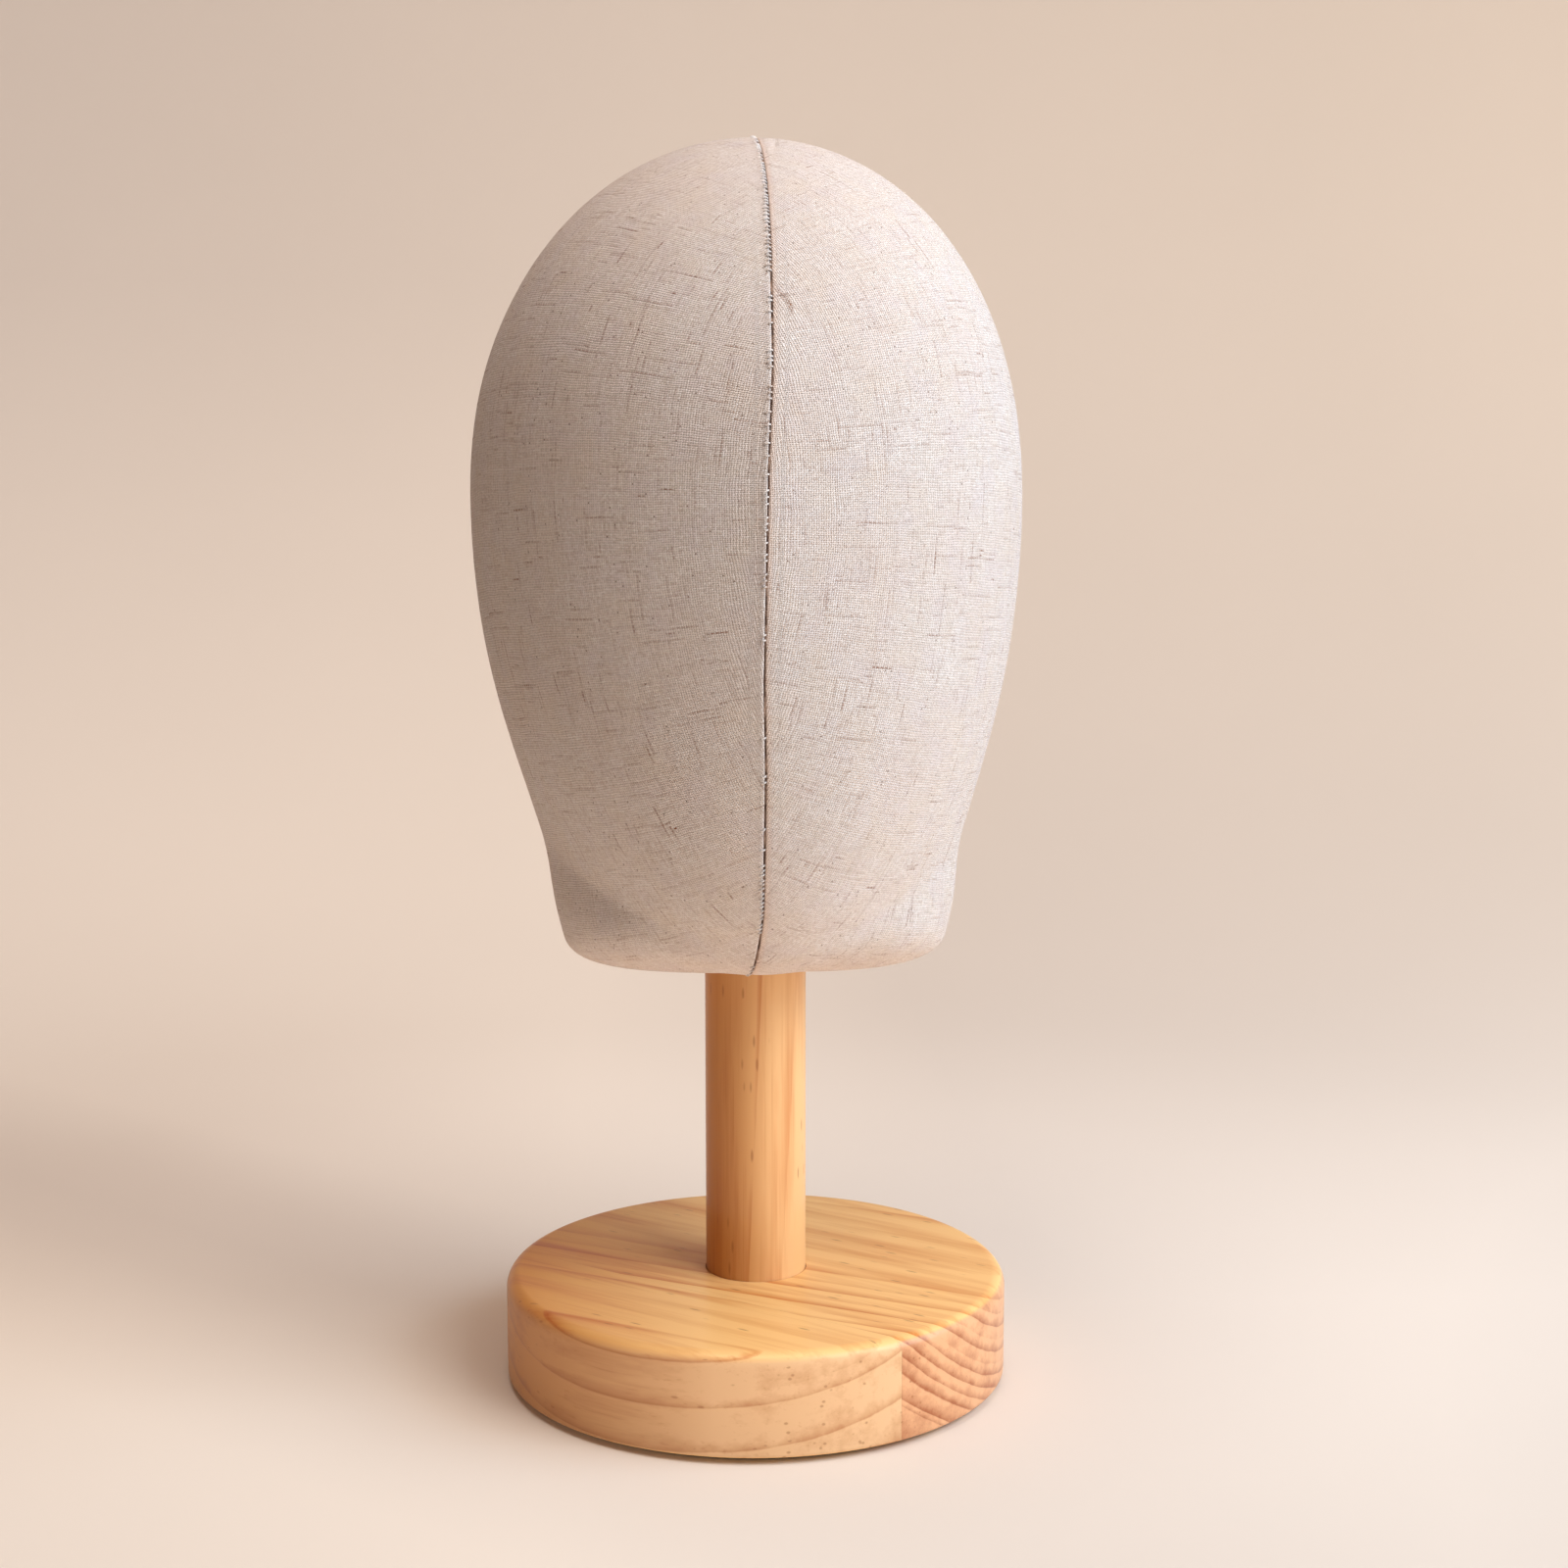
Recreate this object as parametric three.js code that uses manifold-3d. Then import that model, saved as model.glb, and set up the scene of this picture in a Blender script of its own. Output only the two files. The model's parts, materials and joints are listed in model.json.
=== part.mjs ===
// A linen-covered display head without features, on a round pine post and a round pine base.
// Millimetres, +Z up, the front of the head towards -Y.
// The origin is the centre of the felt's underside, on the axis of the post.
import * as THREE from "three";
import { mergeVertices } from "three/addons/utils/BufferGeometryUtils.js";
import Module from "manifold-3d";

const wasm = await Module();
wasm.setup();

// Clearances
const fitGap = 0.3; // between pieces that rest on, or are cut round, each other
const runGap = 0.8; // round the post, where the head slides and turns
const pinGap = 0.4; // round the turning disc's pin

// Base: a disc of two pine boards glued edge to edge, on a felt pad
const baseDiameter = 150;
const boardThickness = 30;
const baseTopRounding = 4;
const baseFootRounding = 1;
const glueLineOffset = 29; // from the middle of the disc to the joint between the boards
const grainAngle = -37; // degrees from +X, seen from above
const feltThickness = 1.6;
const feltInset = 4;

// Post: a pine dowel let into the base
const postDiameter = 30;
const postSeatDepth = 8;
const postBetween = 96; // from the top of the base to the underside of the head
const postInHead = 102;
const postChamfer = 1;

// Wood screw and washer that hold the post from below
const screwDiameter = 6;
const screwLength = 46;
const screwPoint = 7;
const screwHeadDiameter = 12;
const screwHeadHeight = 3.2;
const screwHeadEdge = 1; // its lower edge is eased this much
const washerDiameter = 18;
const washerThickness = 1.5;
const counterboreDepth = 7;

// Nylon disc on top of the post, on which the head turns
const discEdge = 0.5; // how far the disc stays inside the post's edge
const discThickness = 3;
const pinDiameter = 8;
const pinLength = 12;

// Layers of the head, from the outside in
const linenThickness = 1.2;
const shellThickness = 3;
const stripThickness = 1.2;
const stripWidth = 24;
const seamWidth = 1.4; // between the folded edges of the two linen panels
const threadWidth = 0.8;
const threadThickness = 0.9;
const threadSunk = 0.2;

// Plywood plates and the tube that holds the post
const neckPlateThickness = 12;
const upperPlateThickness = 9;
const tubeWall = 2.5;
const tubeEndThickness = 8;

// Screws through the shell into the plates, and the staples of the hem
const plateScrewDiameter = 3;
const plateScrewLength = 18;
const plateScrewHeadDiameter = 6;
const plateScrewHeadHeight = 1.8;
const plateScrewHeadRim = 0.4;
const plateScrewSunk = 0.7; // how far the head lies below the shell's face
const stapleWidth = 10;
const stapleWire = 0.9;
const stapleLeg = 8;
const stapleFromRim = 8;

// Form of the head. Heights are above the underside of the neck, reaches are from its upright middle line.
const headHeight = 237;
const middleBehindPost = 6;
const side = { reach: 80, height: 134, tail: 139, dome: 2.15, taper: 2 };
const front = { reach: 96, height: 122, tail: 150, dome: 2.3, taper: 2 };
const back = { reach: 98, height: 157, tail: 151, dome: 2.2, taper: 2 };
const sectionPower = 2.1; // 2 is an ellipse, more is squarer
const neckSide = 55;
const neckFront = 55;
const neckBack = 50;
const neckFlare = 0.18; // how fast the neck widens upwards
const jawBlend = 9; // width of the soft hollow between jaw and neck
const jawFade = 4; // how late the hollow dies away towards half the head's height
// The front is drawn to a soft ridge at the seam: slope of each half beside it, and where it is strongest
const seamRidge = { slope: 0.21, height: 124, spread: 65 };
const neckRounding = 6; // lower edge at the sides and the back
const chinRounding = 28; // lower edge under the chin
const sidewaysSway = 2.2; // the covered form leans this far to one side half way up
const swayPower = 1.3;

// Fineness of the curved faces
const fine = { sides: 32, rim: 3, wall: 7, dome: 8 }; // linen and the face under it
const coarse = { sides: 24, rim: 3, wall: 5, dome: 6 }; // inside of the shell and what fits in it
const wideSides = 56;
const postSides = 32;
const smallSides = 16;
const roundingSteps = 3;
const slopeStep = 1e-3;

// Heights in the part's own frame
const baseBottom = feltThickness + fitGap;
const baseTop = baseBottom + boardThickness;
const postBottom = baseTop - postSeatDepth + fitGap;
const neckBottom = baseTop + postBetween;
const postTop = neckBottom + postInHead;
const discBottom = postTop + fitGap;
const discTop = discBottom + discThickness;
const tubeEndBottom = discTop + fitGap;
const tubeTop = tubeEndBottom + tubeEndThickness;

// Depths of the layers below the linen's outer face
const shellOuter = linenThickness + fitGap;
const shellInner = shellOuter + shellThickness;
const stripOuter = shellInner + fitGap;
const stripInner = stripOuter + stripThickness;

const neckPlateBottom = neckBottom + stripOuter;
const neckPlateTop = neckPlateBottom + neckPlateThickness;
const upperPlateTop = tubeTop - fitGap;
const upperPlateBottom = upperPlateTop - upperPlateThickness;
const tubeBore = postDiameter / 2 + runGap;
const tubeRadius = tubeBore + tubeWall;
const wideEnough = 2 * (headHeight + baseDiameter);

const radians = THREE.MathUtils.degToRad;

// Solids

function solidOf(geometry) {
  const plain = new THREE.BufferGeometry();
  plain.setAttribute("position", geometry.getAttribute("position"));
  plain.setIndex(geometry.getIndex());
  const merged = mergeVertices(plain, 1e-4);
  return new wasm.Manifold(
    new wasm.Mesh({
      numProp: 3,
      vertProperties: merged.getAttribute("position").array,
      triVerts: new Uint32Array(merged.getIndex().array),
    }),
  );
}

function geometryOf(solid) {
  const mesh = solid.getMesh();
  const geometry = new THREE.BufferGeometry();
  geometry.setAttribute("position", new THREE.BufferAttribute(mesh.vertProperties, 3));
  geometry.setIndex(new THREE.BufferAttribute(mesh.triVerts, 1));
  const flat = geometry.toNonIndexed();
  flat.computeVertexNormals();
  return flat;
}

// A turned solid about Z from a profile of [radius, height] pairs, listed from the bottom up.
function turned(profile, sides) {
  const points = profile.map(([radius, height]) => new THREE.Vector2(radius, height));
  return new THREE.LatheGeometry(points, sides).rotateX(Math.PI / 2);
}

function cylinder(radius, bottom, top, sides) {
  return solidOf(
    turned(
      [
        [0, bottom],
        [radius, bottom],
        [radius, top],
        [0, top],
      ],
      sides,
    ),
  );
}

function block(low, high) {
  const size = high.map((value, axis) => value - low[axis]);
  const box = new THREE.BoxGeometry(...size);
  return box.translate(...low.map((value, axis) => value + size[axis] / 2));
}

// A quarter circle of [radius, height] pairs round a centre, from one angle to another.
function arc(centre, radius, from, to) {
  return Array.from({ length: roundingSteps + 1 }, (_, step) => {
    const angle = radians(from + ((to - from) * step) / roundingSteps);
    return [centre[0] + radius * Math.cos(angle), centre[1] + radius * Math.sin(angle)];
  });
}

// Form of the head

// How far one quarter of the head reaches from its middle line at a height.
function quarterReach(quarter, height) {
  const rise = height - quarter.height;
  const share = rise > 0 ? rise / (headHeight - quarter.height) : -rise / quarter.tail;
  const power = rise > 0 ? quarter.dome : quarter.taper;
  return quarter.reach * Math.sqrt(Math.max(0, 1 - Math.min(share, 1) ** power));
}

// Distance from the middle line to the edge of an oval, in the direction of an angle.
function ovalReach(angle, across, along, power) {
  const x = Math.abs(Math.cos(angle)) / Math.max(across, slopeStep);
  const y = Math.abs(Math.sin(angle)) / Math.max(along, slopeStep);
  return (x ** power + y ** power) ** (-1 / power);
}

// The share by which the front falls back beside the ridge at the seam.
function ridgeFall(angle, height) {
  const aside = Math.abs(Math.cos(angle));
  const strength = Math.exp(-(((height - seamRidge.height) / seamRidge.spread) ** 2));
  return seamRidge.slope * strength * aside * (1 - aside);
}

// The wall of the head before its lower edge is rounded: the egg and the neck, softly joined.
function wallReach(angle, height) {
  const kept = Math.sin(angle) < 0 ? 1 - ridgeFall(angle, height) : 1;
  return kept * ovalWallReach(angle, height);
}

function ovalWallReach(angle, height) {
  const forward = Math.sin(angle) < 0;
  const egg = ovalReach(
    angle,
    quarterReach(side, height),
    quarterReach(forward ? front : back, height),
    sectionPower,
  );
  const share = height / (headHeight / 2);
  if (share > 1) return egg;
  const flare = neckFlare * height;
  const neck = ovalReach(angle, neckSide + flare, (forward ? neckFront : neckBack) + flare, 2);
  const overlap = Math.max(jawBlend - Math.abs(egg - neck), 0) / jawBlend;
  const hollow = (overlap ** 2 * jawBlend) / 4;
  return Math.max(egg, neck) + hollow * (1 - share ** jawFade) ** 2;
}

// The lower edge is rounded most at the middle of the chin.
function edgeRounding(angle) {
  const forward = Math.max(-Math.sin(angle), 0);
  return neckRounding + (chinRounding - neckRounding) * forward ** 2;
}

function swayAt(height) {
  const share = Math.min(Math.max(height / headHeight, 0), 1);
  return -sidewaysSway * Math.sin(Math.PI * share ** swayPower);
}

// A point of the outer face. The station runs 0 to 1 round the lower edge, to 2 up the wall
// and to 3 over the dome.
function formPoint(angle, station) {
  const rounding = edgeRounding(angle);
  let height;
  let cut = 0;
  if (station < 1) {
    const turn = (station * Math.PI) / 2;
    height = rounding * (1 - Math.cos(turn));
    cut = rounding * (1 - Math.sin(turn));
  } else if (station < 2) {
    height = rounding + (side.height - rounding) * (station - 1);
  } else {
    height = side.height + (headHeight - side.height) * Math.sin(((station - 2) * Math.PI) / 2);
  }
  const reach = wallReach(angle, height) - cut;
  return new THREE.Vector3(
    reach * Math.cos(angle) + swayAt(height),
    reach * Math.sin(angle) + middleBehindPost,
    neckBottom + height,
  );
}

function formNormal(angle, station) {
  const low = Math.max(station - slopeStep, 0);
  const high = Math.min(station + slopeStep, 3 - slopeStep);
  const up = formPoint(angle, high).sub(formPoint(angle, low));
  const round = formPoint(angle + slopeStep, station).sub(formPoint(angle - slopeStep, station));
  return round.cross(up).normalize();
}

// The solid inside the outer face at a depth below it.
function form(depth, grid = fine) {
  const stations = [];
  for (let step = 0; step < grid.rim; step += 1) stations.push(step / grid.rim);
  for (let step = 0; step < grid.wall; step += 1) stations.push(1 + step / grid.wall);
  for (let step = 0; step < grid.dome; step += 1) stations.push(2 + step / grid.dome);
  const vertices = [0, middleBehindPost, neckBottom + depth];
  for (const station of stations) {
    for (let step = 0; step < grid.sides; step += 1) {
      const angle = (2 * Math.PI * step) / grid.sides;
      // Deeper layers than the rounding of the lower edge keep a sharp corner there.
      const inset = station < 1 ? Math.min(depth, edgeRounding(angle) - fitGap) : depth;
      const point = formPoint(angle, station).addScaledVector(formNormal(angle, station), -inset);
      if (station === 0) point.z = neckBottom + depth;
      vertices.push(point.x, point.y, Math.max(point.z, neckBottom + depth));
    }
  }
  vertices.push(0, middleBehindPost, neckBottom + headHeight - depth);
  const top = vertices.length / 3 - 1;
  const faces = [];
  for (let step = 0; step < grid.sides; step += 1) {
    const next = (step + 1) % grid.sides;
    faces.push(0, 1 + next, 1 + step);
    for (let ring = 0; ring + 1 < stations.length; ring += 1) {
      const here = 1 + ring * grid.sides;
      const above = here + grid.sides;
      faces.push(here + step, here + next, above + next);
      faces.push(here + step, above + next, above + step);
    }
    faces.push(top - grid.sides + step, top - grid.sides + next, top);
  }
  const geometry = new THREE.BufferGeometry();
  geometry.setAttribute("position", new THREE.Float32BufferAttribute(vertices, 3));
  geometry.setIndex(faces);
  return solidOf(geometry);
}

// A flat face between two corners of the form lies this far inside the true curve.
const facetSag = (reach) => reach * (1 - Math.cos(Math.PI / fine.sides));

// An upright wall of material on the seam's plane, and the halves of space beside it.
const upright = (low, high) =>
  solidOf(block([low, -wideEnough, -wideEnough], [high, wideEnough, wideEnough]));
const slab = (bottom, top) =>
  solidOf(block([-wideEnough, -wideEnough, bottom], [wideEnough, wideEnough, top]));
const leftOf = (x) => upright(-wideEnough, x);
const rightOf = (x) => upright(x, wideEnough);

// Materials

const finish = (color, roughness, metalness = 0) =>
  new THREE.MeshStandardMaterial({ color, roughness, metalness, flatShading: true });
const materials = {
  linen: finish("#dccfc5", 0.95),
  thread: finish("#8c6a55", 0.9),
  pine: finish("#e0b07a", 0.4),
  pinePost: finish("#dda468", 0.35),
  felt: finish("#3b332d", 1),
  nylon: finish("#ece8de", 0.45),
  plywood: finish("#cda877", 0.7),
  shell: finish("#c9bba2", 0.6),
  tube: finish("#8d8478", 0.55),
  steel: finish("#b4b7ba", 0.35, 0.9),
};

const displayHead = new THREE.Group();
displayHead.name = "display_head";

function add(name, solid, material, place) {
  const mesh = new THREE.Mesh(geometryOf(solid), material);
  mesh.name = name;
  if (place) mesh.applyMatrix4(place);
  displayHead.add(mesh);
}

// Base

const boardDisc = solidOf(
  turned(
    [
      [0, baseBottom],
      [baseDiameter / 2 - baseFootRounding, baseBottom],
      [baseDiameter / 2, baseBottom + baseFootRounding],
      ...arc(
        [baseDiameter / 2 - baseTopRounding, baseTop - baseTopRounding],
        baseTopRounding,
        0,
        90,
      ),
      [0, baseTop],
    ],
    wideSides,
  ),
);

// The boards' joint is a straight cut along the grain, in front of the middle.
function boardSide(from, to) {
  const half = block([-wideEnough, from, -wideEnough], [wideEnough, to, wideEnough]);
  return solidOf(half.rotateZ(radians(grainAngle)));
}
const screwRoom = screwDiameter / 2 + fitGap;
const postRoom = postDiameter / 2 + fitGap;
const washerRoom = washerDiameter / 2 + fitGap;
const rearBoard = boardDisc
  .intersect(boardSide(-glueLineOffset + fitGap / 2, wideEnough))
  .subtract(cylinder(postRoom, baseTop - postSeatDepth, baseTop + fitGap, postSides))
  .subtract(cylinder(screwRoom, 0, baseTop, smallSides))
  .subtract(cylinder(washerRoom, 0, baseBottom + counterboreDepth, smallSides));
add("base_board_rear", rearBoard, materials.pine);
add(
  "base_board_front",
  boardDisc.intersect(boardSide(-wideEnough, -glueLineOffset - fitGap / 2)),
  materials.pine,
);
add(
  "base_felt",
  cylinder(baseDiameter / 2 - feltInset, 0, feltThickness, wideSides),
  materials.felt,
);

// Post, with the screw and washer that pull it down from below

const washerTop = baseBottom + counterboreDepth - fitGap;
const screwHeadTop = washerTop - washerThickness - fitGap;
const screwTip = screwHeadTop + screwLength;
const postBody = solidOf(
  turned(
    [
      [0, postBottom],
      [postDiameter / 2, postBottom],
      [postDiameter / 2, postTop - postChamfer],
      [postDiameter / 2 - postChamfer, postTop],
      [0, postTop],
    ],
    postSides,
  ),
);
add(
  "post",
  postBody
    .subtract(cylinder(screwRoom, 0, screwTip + fitGap, smallSides))
    .subtract(
      cylinder(pinDiameter / 2 + pinGap, discBottom - pinLength - fitGap, discTop, smallSides),
    ),
  materials.pinePost,
);
add(
  "post_screw",
  solidOf(
    turned(
      [
        [0, screwHeadTop - screwHeadHeight],
        [screwHeadDiameter / 2 - screwHeadEdge, screwHeadTop - screwHeadHeight],
        [screwHeadDiameter / 2, screwHeadTop - screwHeadHeight + screwHeadEdge],
        [screwHeadDiameter / 2, screwHeadTop],
        [screwDiameter / 2, screwHeadTop],
        [screwDiameter / 2, screwTip - screwPoint],
        [0, screwTip],
      ],
      smallSides,
    ),
  ),
  materials.steel,
);
add(
  "post_screw_washer",
  cylinder(washerDiameter / 2, washerTop - washerThickness, washerTop, smallSides).subtract(
    cylinder(screwRoom, 0, baseTop, smallSides),
  ),
  materials.steel,
);

// Turning disc: its pin drops into the top of the post

add(
  "turning_disc",
  cylinder(pinDiameter / 2, discBottom - pinLength, discTop, smallSides).add(
    cylinder(postDiameter / 2 - discEdge, discBottom, discTop, postSides),
  ),
  materials.nylon,
);

// Tube and plates inside the head

const tubeRoom = cylinder(tubeRadius + fitGap, 0, tubeTop + fitGap, postSides);
add(
  "socket_tube",
  cylinder(tubeRadius, neckBottom, tubeTop, postSides).subtract(
    cylinder(tubeBore, 0, wideEnough, postSides),
  ),
  materials.tube,
);
add(
  "socket_end",
  cylinder(tubeBore - fitGap, tubeEndBottom, tubeTop, postSides),
  materials.plywood,
);

// Each plate screw is turned about Z and then laid pointing inwards, its head under the linen.
function plateScrew(grow, above) {
  return turned(
    [
      [0, -above],
      [plateScrewHeadDiameter / 2 + grow, -above],
      [plateScrewHeadDiameter / 2 + grow, plateScrewHeadRim + grow],
      [plateScrewDiameter / 2 + grow, plateScrewHeadHeight + grow],
      [plateScrewDiameter / 2 + grow, plateScrewLength - plateScrewDiameter],
      [0, plateScrewLength + grow],
    ],
    smallSides / 2,
  );
}
function plateScrewPlace(angle, height) {
  const wall = wallReach(angle, height - neckBottom);
  const reach = wall - shellOuter - facetSag(wall) - plateScrewSunk;
  return new THREE.Matrix4()
    .makeTranslation(
      reach * Math.cos(angle) + swayAt(height - neckBottom),
      reach * Math.sin(angle) + middleBehindPost,
      height,
    )
    .multiply(new THREE.Matrix4().makeRotationZ(angle))
    .multiply(new THREE.Matrix4().makeRotationY(-Math.PI / 2));
}
const neckScrewAngles = [0, 45, 135, 180];
const upperScrewAngles = [45, 135, 225, 315];
const plateScrewPlaces = [
  ...neckScrewAngles.map((angle) =>
    plateScrewPlace(radians(angle), (neckPlateBottom + neckPlateTop) / 2),
  ),
  ...upperScrewAngles.map((angle) =>
    plateScrewPlace(radians(angle), (upperPlateBottom + upperPlateTop) / 2),
  ),
];
const plateScrewRoom = plateScrewPlaces
  .map((place) => solidOf(plateScrew(fitGap, plateScrewSunk + fitGap).applyMatrix4(place)))
  .reduce((all, one) => all.add(one));

// Staples pass up through the hem and the shell's floor into the neck plate.
const stapleTop = neckBottom - fitGap;
function staple(grow) {
  const half = stapleWidth / 2 + grow;
  const wire = stapleWire / 2 + grow;
  const inner = stapleWidth / 2 - stapleWire - grow;
  const outline = new THREE.Shape();
  outline.moveTo(-half, -stapleWire - grow);
  outline.lineTo(half, -stapleWire - grow);
  outline.lineTo(half, stapleLeg + grow);
  outline.lineTo(inner, stapleLeg + grow);
  outline.lineTo(inner, grow);
  outline.lineTo(-inner, grow);
  outline.lineTo(-inner, stapleLeg + grow);
  outline.lineTo(-half, stapleLeg + grow);
  outline.closePath();
  const body = new THREE.ExtrudeGeometry(outline, { depth: 2 * wire, bevelEnabled: false });
  return body.translate(0, 0, -wire).rotateX(Math.PI / 2);
}
function staplePlace(angle) {
  const rounding = edgeRounding(angle);
  const reach = wallReach(angle, rounding) - rounding - stapleFromRim;
  return new THREE.Matrix4()
    .makeTranslation(
      reach * Math.cos(angle),
      reach * Math.sin(angle) + middleBehindPost,
      stapleTop,
    )
    .multiply(new THREE.Matrix4().makeRotationZ(angle + Math.PI / 2));
}
const stapleAngles = [-15, 25, 65, 115, 155, 195];
const staplePlaces = stapleAngles.map((angle) => staplePlace(radians(angle)));
const stapleRoom = staplePlaces
  .map((place) => solidOf(staple(fitGap).applyMatrix4(place)))
  .reduce((all, one) => all.add(one));

const hollows = tubeRoom.add(plateScrewRoom).add(stapleRoom);
const plateForm = form(stripOuter, coarse);
add(
  "neck_plate",
  plateForm.intersect(slab(neckPlateBottom, neckPlateTop)).subtract(hollows),
  materials.plywood,
);
// The upper plate is notched where the strip behind the shell's joint runs past it.
const stripRoom = upright(-stripWidth / 2 - fitGap, stripWidth / 2 + fitGap).subtract(
  form(stripInner + fitGap, coarse),
);
add(
  "upper_plate",
  plateForm
    .intersect(slab(upperPlateBottom, upperPlateTop))
    .subtract(stripRoom)
    .subtract(hollows),
  materials.plywood,
);

// Moulded shell in two halves, with a strip glued across their joint on the inside

const shell = form(shellOuter).subtract(form(shellInner, coarse)).subtract(hollows);
add("shell_left", shell.intersect(leftOf(-fitGap / 2)), materials.shell);
add("shell_right", shell.intersect(rightOf(fitGap / 2)), materials.shell);
add(
  "joint_strip",
  plateForm
    .subtract(form(stripInner, coarse))
    .intersect(upright(-stripWidth / 2, stripWidth / 2))
    .intersect(slab(neckPlateTop + fitGap, wideEnough)),
  materials.shell,
);

// Linen in two panels, turned under the neck up to the tube, and the seam between them

const linen = form(0).subtract(form(linenThickness)).subtract(tubeRoom).subtract(stapleRoom);
add("cover_left", linen.intersect(leftOf(-seamWidth / 2)), materials.linen);
add("cover_right", linen.intersect(rightOf(seamWidth / 2)), materials.linen);
add(
  "seam_thread",
  form(threadSunk)
    .subtract(form(threadSunk + threadThickness))
    .intersect(upright(-threadWidth / 2, threadWidth / 2))
    .subtract(tubeRoom),
  materials.thread,
);

// Fasteners of the head

plateScrewPlaces.forEach((place, index) => {
  const screw = solidOf(plateScrew(0, 0));
  add(`plate_screw_${index + 1}`, screw, materials.steel, place);
});
staplePlaces.forEach((place, index) => {
  add(`hem_staple_${index + 1}`, solidOf(staple(0)), materials.steel, place);
});

export default displayHead;
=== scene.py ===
"""A linen-covered display head on a turned pine stand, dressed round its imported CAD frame."""

import json
import math
import random
from functools import partial

import bmesh
import bpy
import numpy as np
from bpy.props import FloatProperty, FloatVectorProperty, PointerProperty
from mathutils import Matrix, Vector, noise


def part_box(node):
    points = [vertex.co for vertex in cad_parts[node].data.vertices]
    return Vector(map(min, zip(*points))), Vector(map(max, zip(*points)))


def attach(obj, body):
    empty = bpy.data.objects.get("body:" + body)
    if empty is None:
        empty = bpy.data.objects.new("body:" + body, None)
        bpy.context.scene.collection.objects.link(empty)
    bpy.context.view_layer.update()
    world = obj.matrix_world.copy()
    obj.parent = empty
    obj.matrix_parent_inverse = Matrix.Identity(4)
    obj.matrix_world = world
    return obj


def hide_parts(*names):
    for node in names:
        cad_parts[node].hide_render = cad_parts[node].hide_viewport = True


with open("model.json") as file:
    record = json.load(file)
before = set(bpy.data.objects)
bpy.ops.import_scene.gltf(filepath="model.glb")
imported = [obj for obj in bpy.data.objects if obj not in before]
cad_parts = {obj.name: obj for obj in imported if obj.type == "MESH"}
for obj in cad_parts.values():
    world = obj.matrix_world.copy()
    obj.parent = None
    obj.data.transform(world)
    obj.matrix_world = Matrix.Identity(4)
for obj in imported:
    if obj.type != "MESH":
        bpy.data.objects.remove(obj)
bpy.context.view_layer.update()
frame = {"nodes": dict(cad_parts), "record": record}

bl_info = {
    "name": "Linen Display Head",
    "version": (1, 0, 0),
    "blender": (4, 5, 0),
    "location": "3D View > Sidebar > Display Head",
    "description": "Builds the looks of a linen display head round its CAD frame",
    "category": "Object",
}

MM = 0.001
SEED = 20

# Form of the head, in millimetres above the underside of the neck and out from its upright middle line
HEAD_HEIGHT = 237
MIDDLE_BEHIND_POST = 6
SIDE = {"reach": 80, "height": 134, "tail": 139, "dome": 2.15, "taper": 2}
FRONT = {"reach": 96, "height": 122, "tail": 150, "dome": 2.3, "taper": 2}
BACK = {"reach": 98, "height": 157, "tail": 151, "dome": 2.2, "taper": 2}
SECTION_POWER = 2.1
NECK_SIDE = 55
NECK_FRONT = 55
NECK_BACK = 50
NECK_FLARE = 0.18
JAW_BLEND = 9
NECK_ROUNDING = 6
CHIN_ROUNDING = 28
JAW_FADE = 4
RIDGE = {"slope": 0.21, "height": 124, "spread": 65}
# A crease under the jaw, lowest in front, with a flare of the cloth below it and a shallow dent along it
CREASE = {"low": 15, "rise": 22, "flare": 4, "steep": 1.4, "fall": 1.5}
CREASE_DENT = {"depth": 0.1, "above": 3, "width": 7}
CREASE_ROUND = (0.25, 1.05)  # it ends this far behind the sides, by the angle's sine, and comes in over this
SIDEWAYS_SWAY = 2.2
SWAY_POWER = 1.3
NECK_BOTTOM = 127.9

# The seam wanders sideways: (height above the neck's underside, sideways place)
FRONT_SEAM = [
    (0, -3.4),
    (7, -2.7),
    (14, -1.7),
    (24, -1.0),
    (66, -1.0),
    (90, -1.6),
    (124, -1.0),
    (150, -0.3),
    (172, 0.9),
    (205, 1.2),
    (222, 1.1),
    (231, 0.6),
    (237, 0),
]
BACK_SEAM = [(0, 0.6), (60, -0.8), (130, 0.5), (190, 1.1), (225, 0.4), (237, 0)]
SEAM_SEARCH = (-70, 70, 281)  # degrees to each side of the middle, and steps

# Stand
GRAIN_ANGLE = -37
GLUE_LINE = -29
BOARD_TOP_ROUNDING = 4
BOARD_FOOT_ROUNDING = 1
FIT = 0.3
SCREW_RADIUS = 3
WASHER_RADIUS = 9
COUNTERBORE = 7
PIN_RADIUS = 4
PIN_PLAY = 0.4
TUBE_OUTSIDE = 18.3
TUBE_START = (0.31, 0.17, 0.93)  # a way that no thread runs, so each tube's rays can be set off from it


def linear(code):
    """An sRGB hex colour as linear RGBA."""
    parts = [int(code[i : i + 2], 16) / 255 for i in (1, 3, 5)]
    return [c / 12.92 if c <= 0.04045 else ((c + 0.055) / 1.055) ** 2.4 for c in parts] + [1]


def colour(name, code, description):
    """A colour setting with its default."""
    return FloatVectorProperty(
        name=name,
        description=description,
        subtype="COLOR",
        size=4,
        min=0,
        max=1,
        default=linear(code),
    )


def amount(name, default, description, **settings):
    """A setting that is a number from zero up, with its default."""
    return FloatProperty(name=name, description=description, min=0, default=default, **settings)


def length(name, millimetres, description):
    """A length setting with its default, given in millimetres."""
    return amount(name, millimetres * MM, description, unit="LENGTH", subtype="DISTANCE", precision=5)


power = partial(amount, unit="POWER", subtype="POWER")


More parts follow.
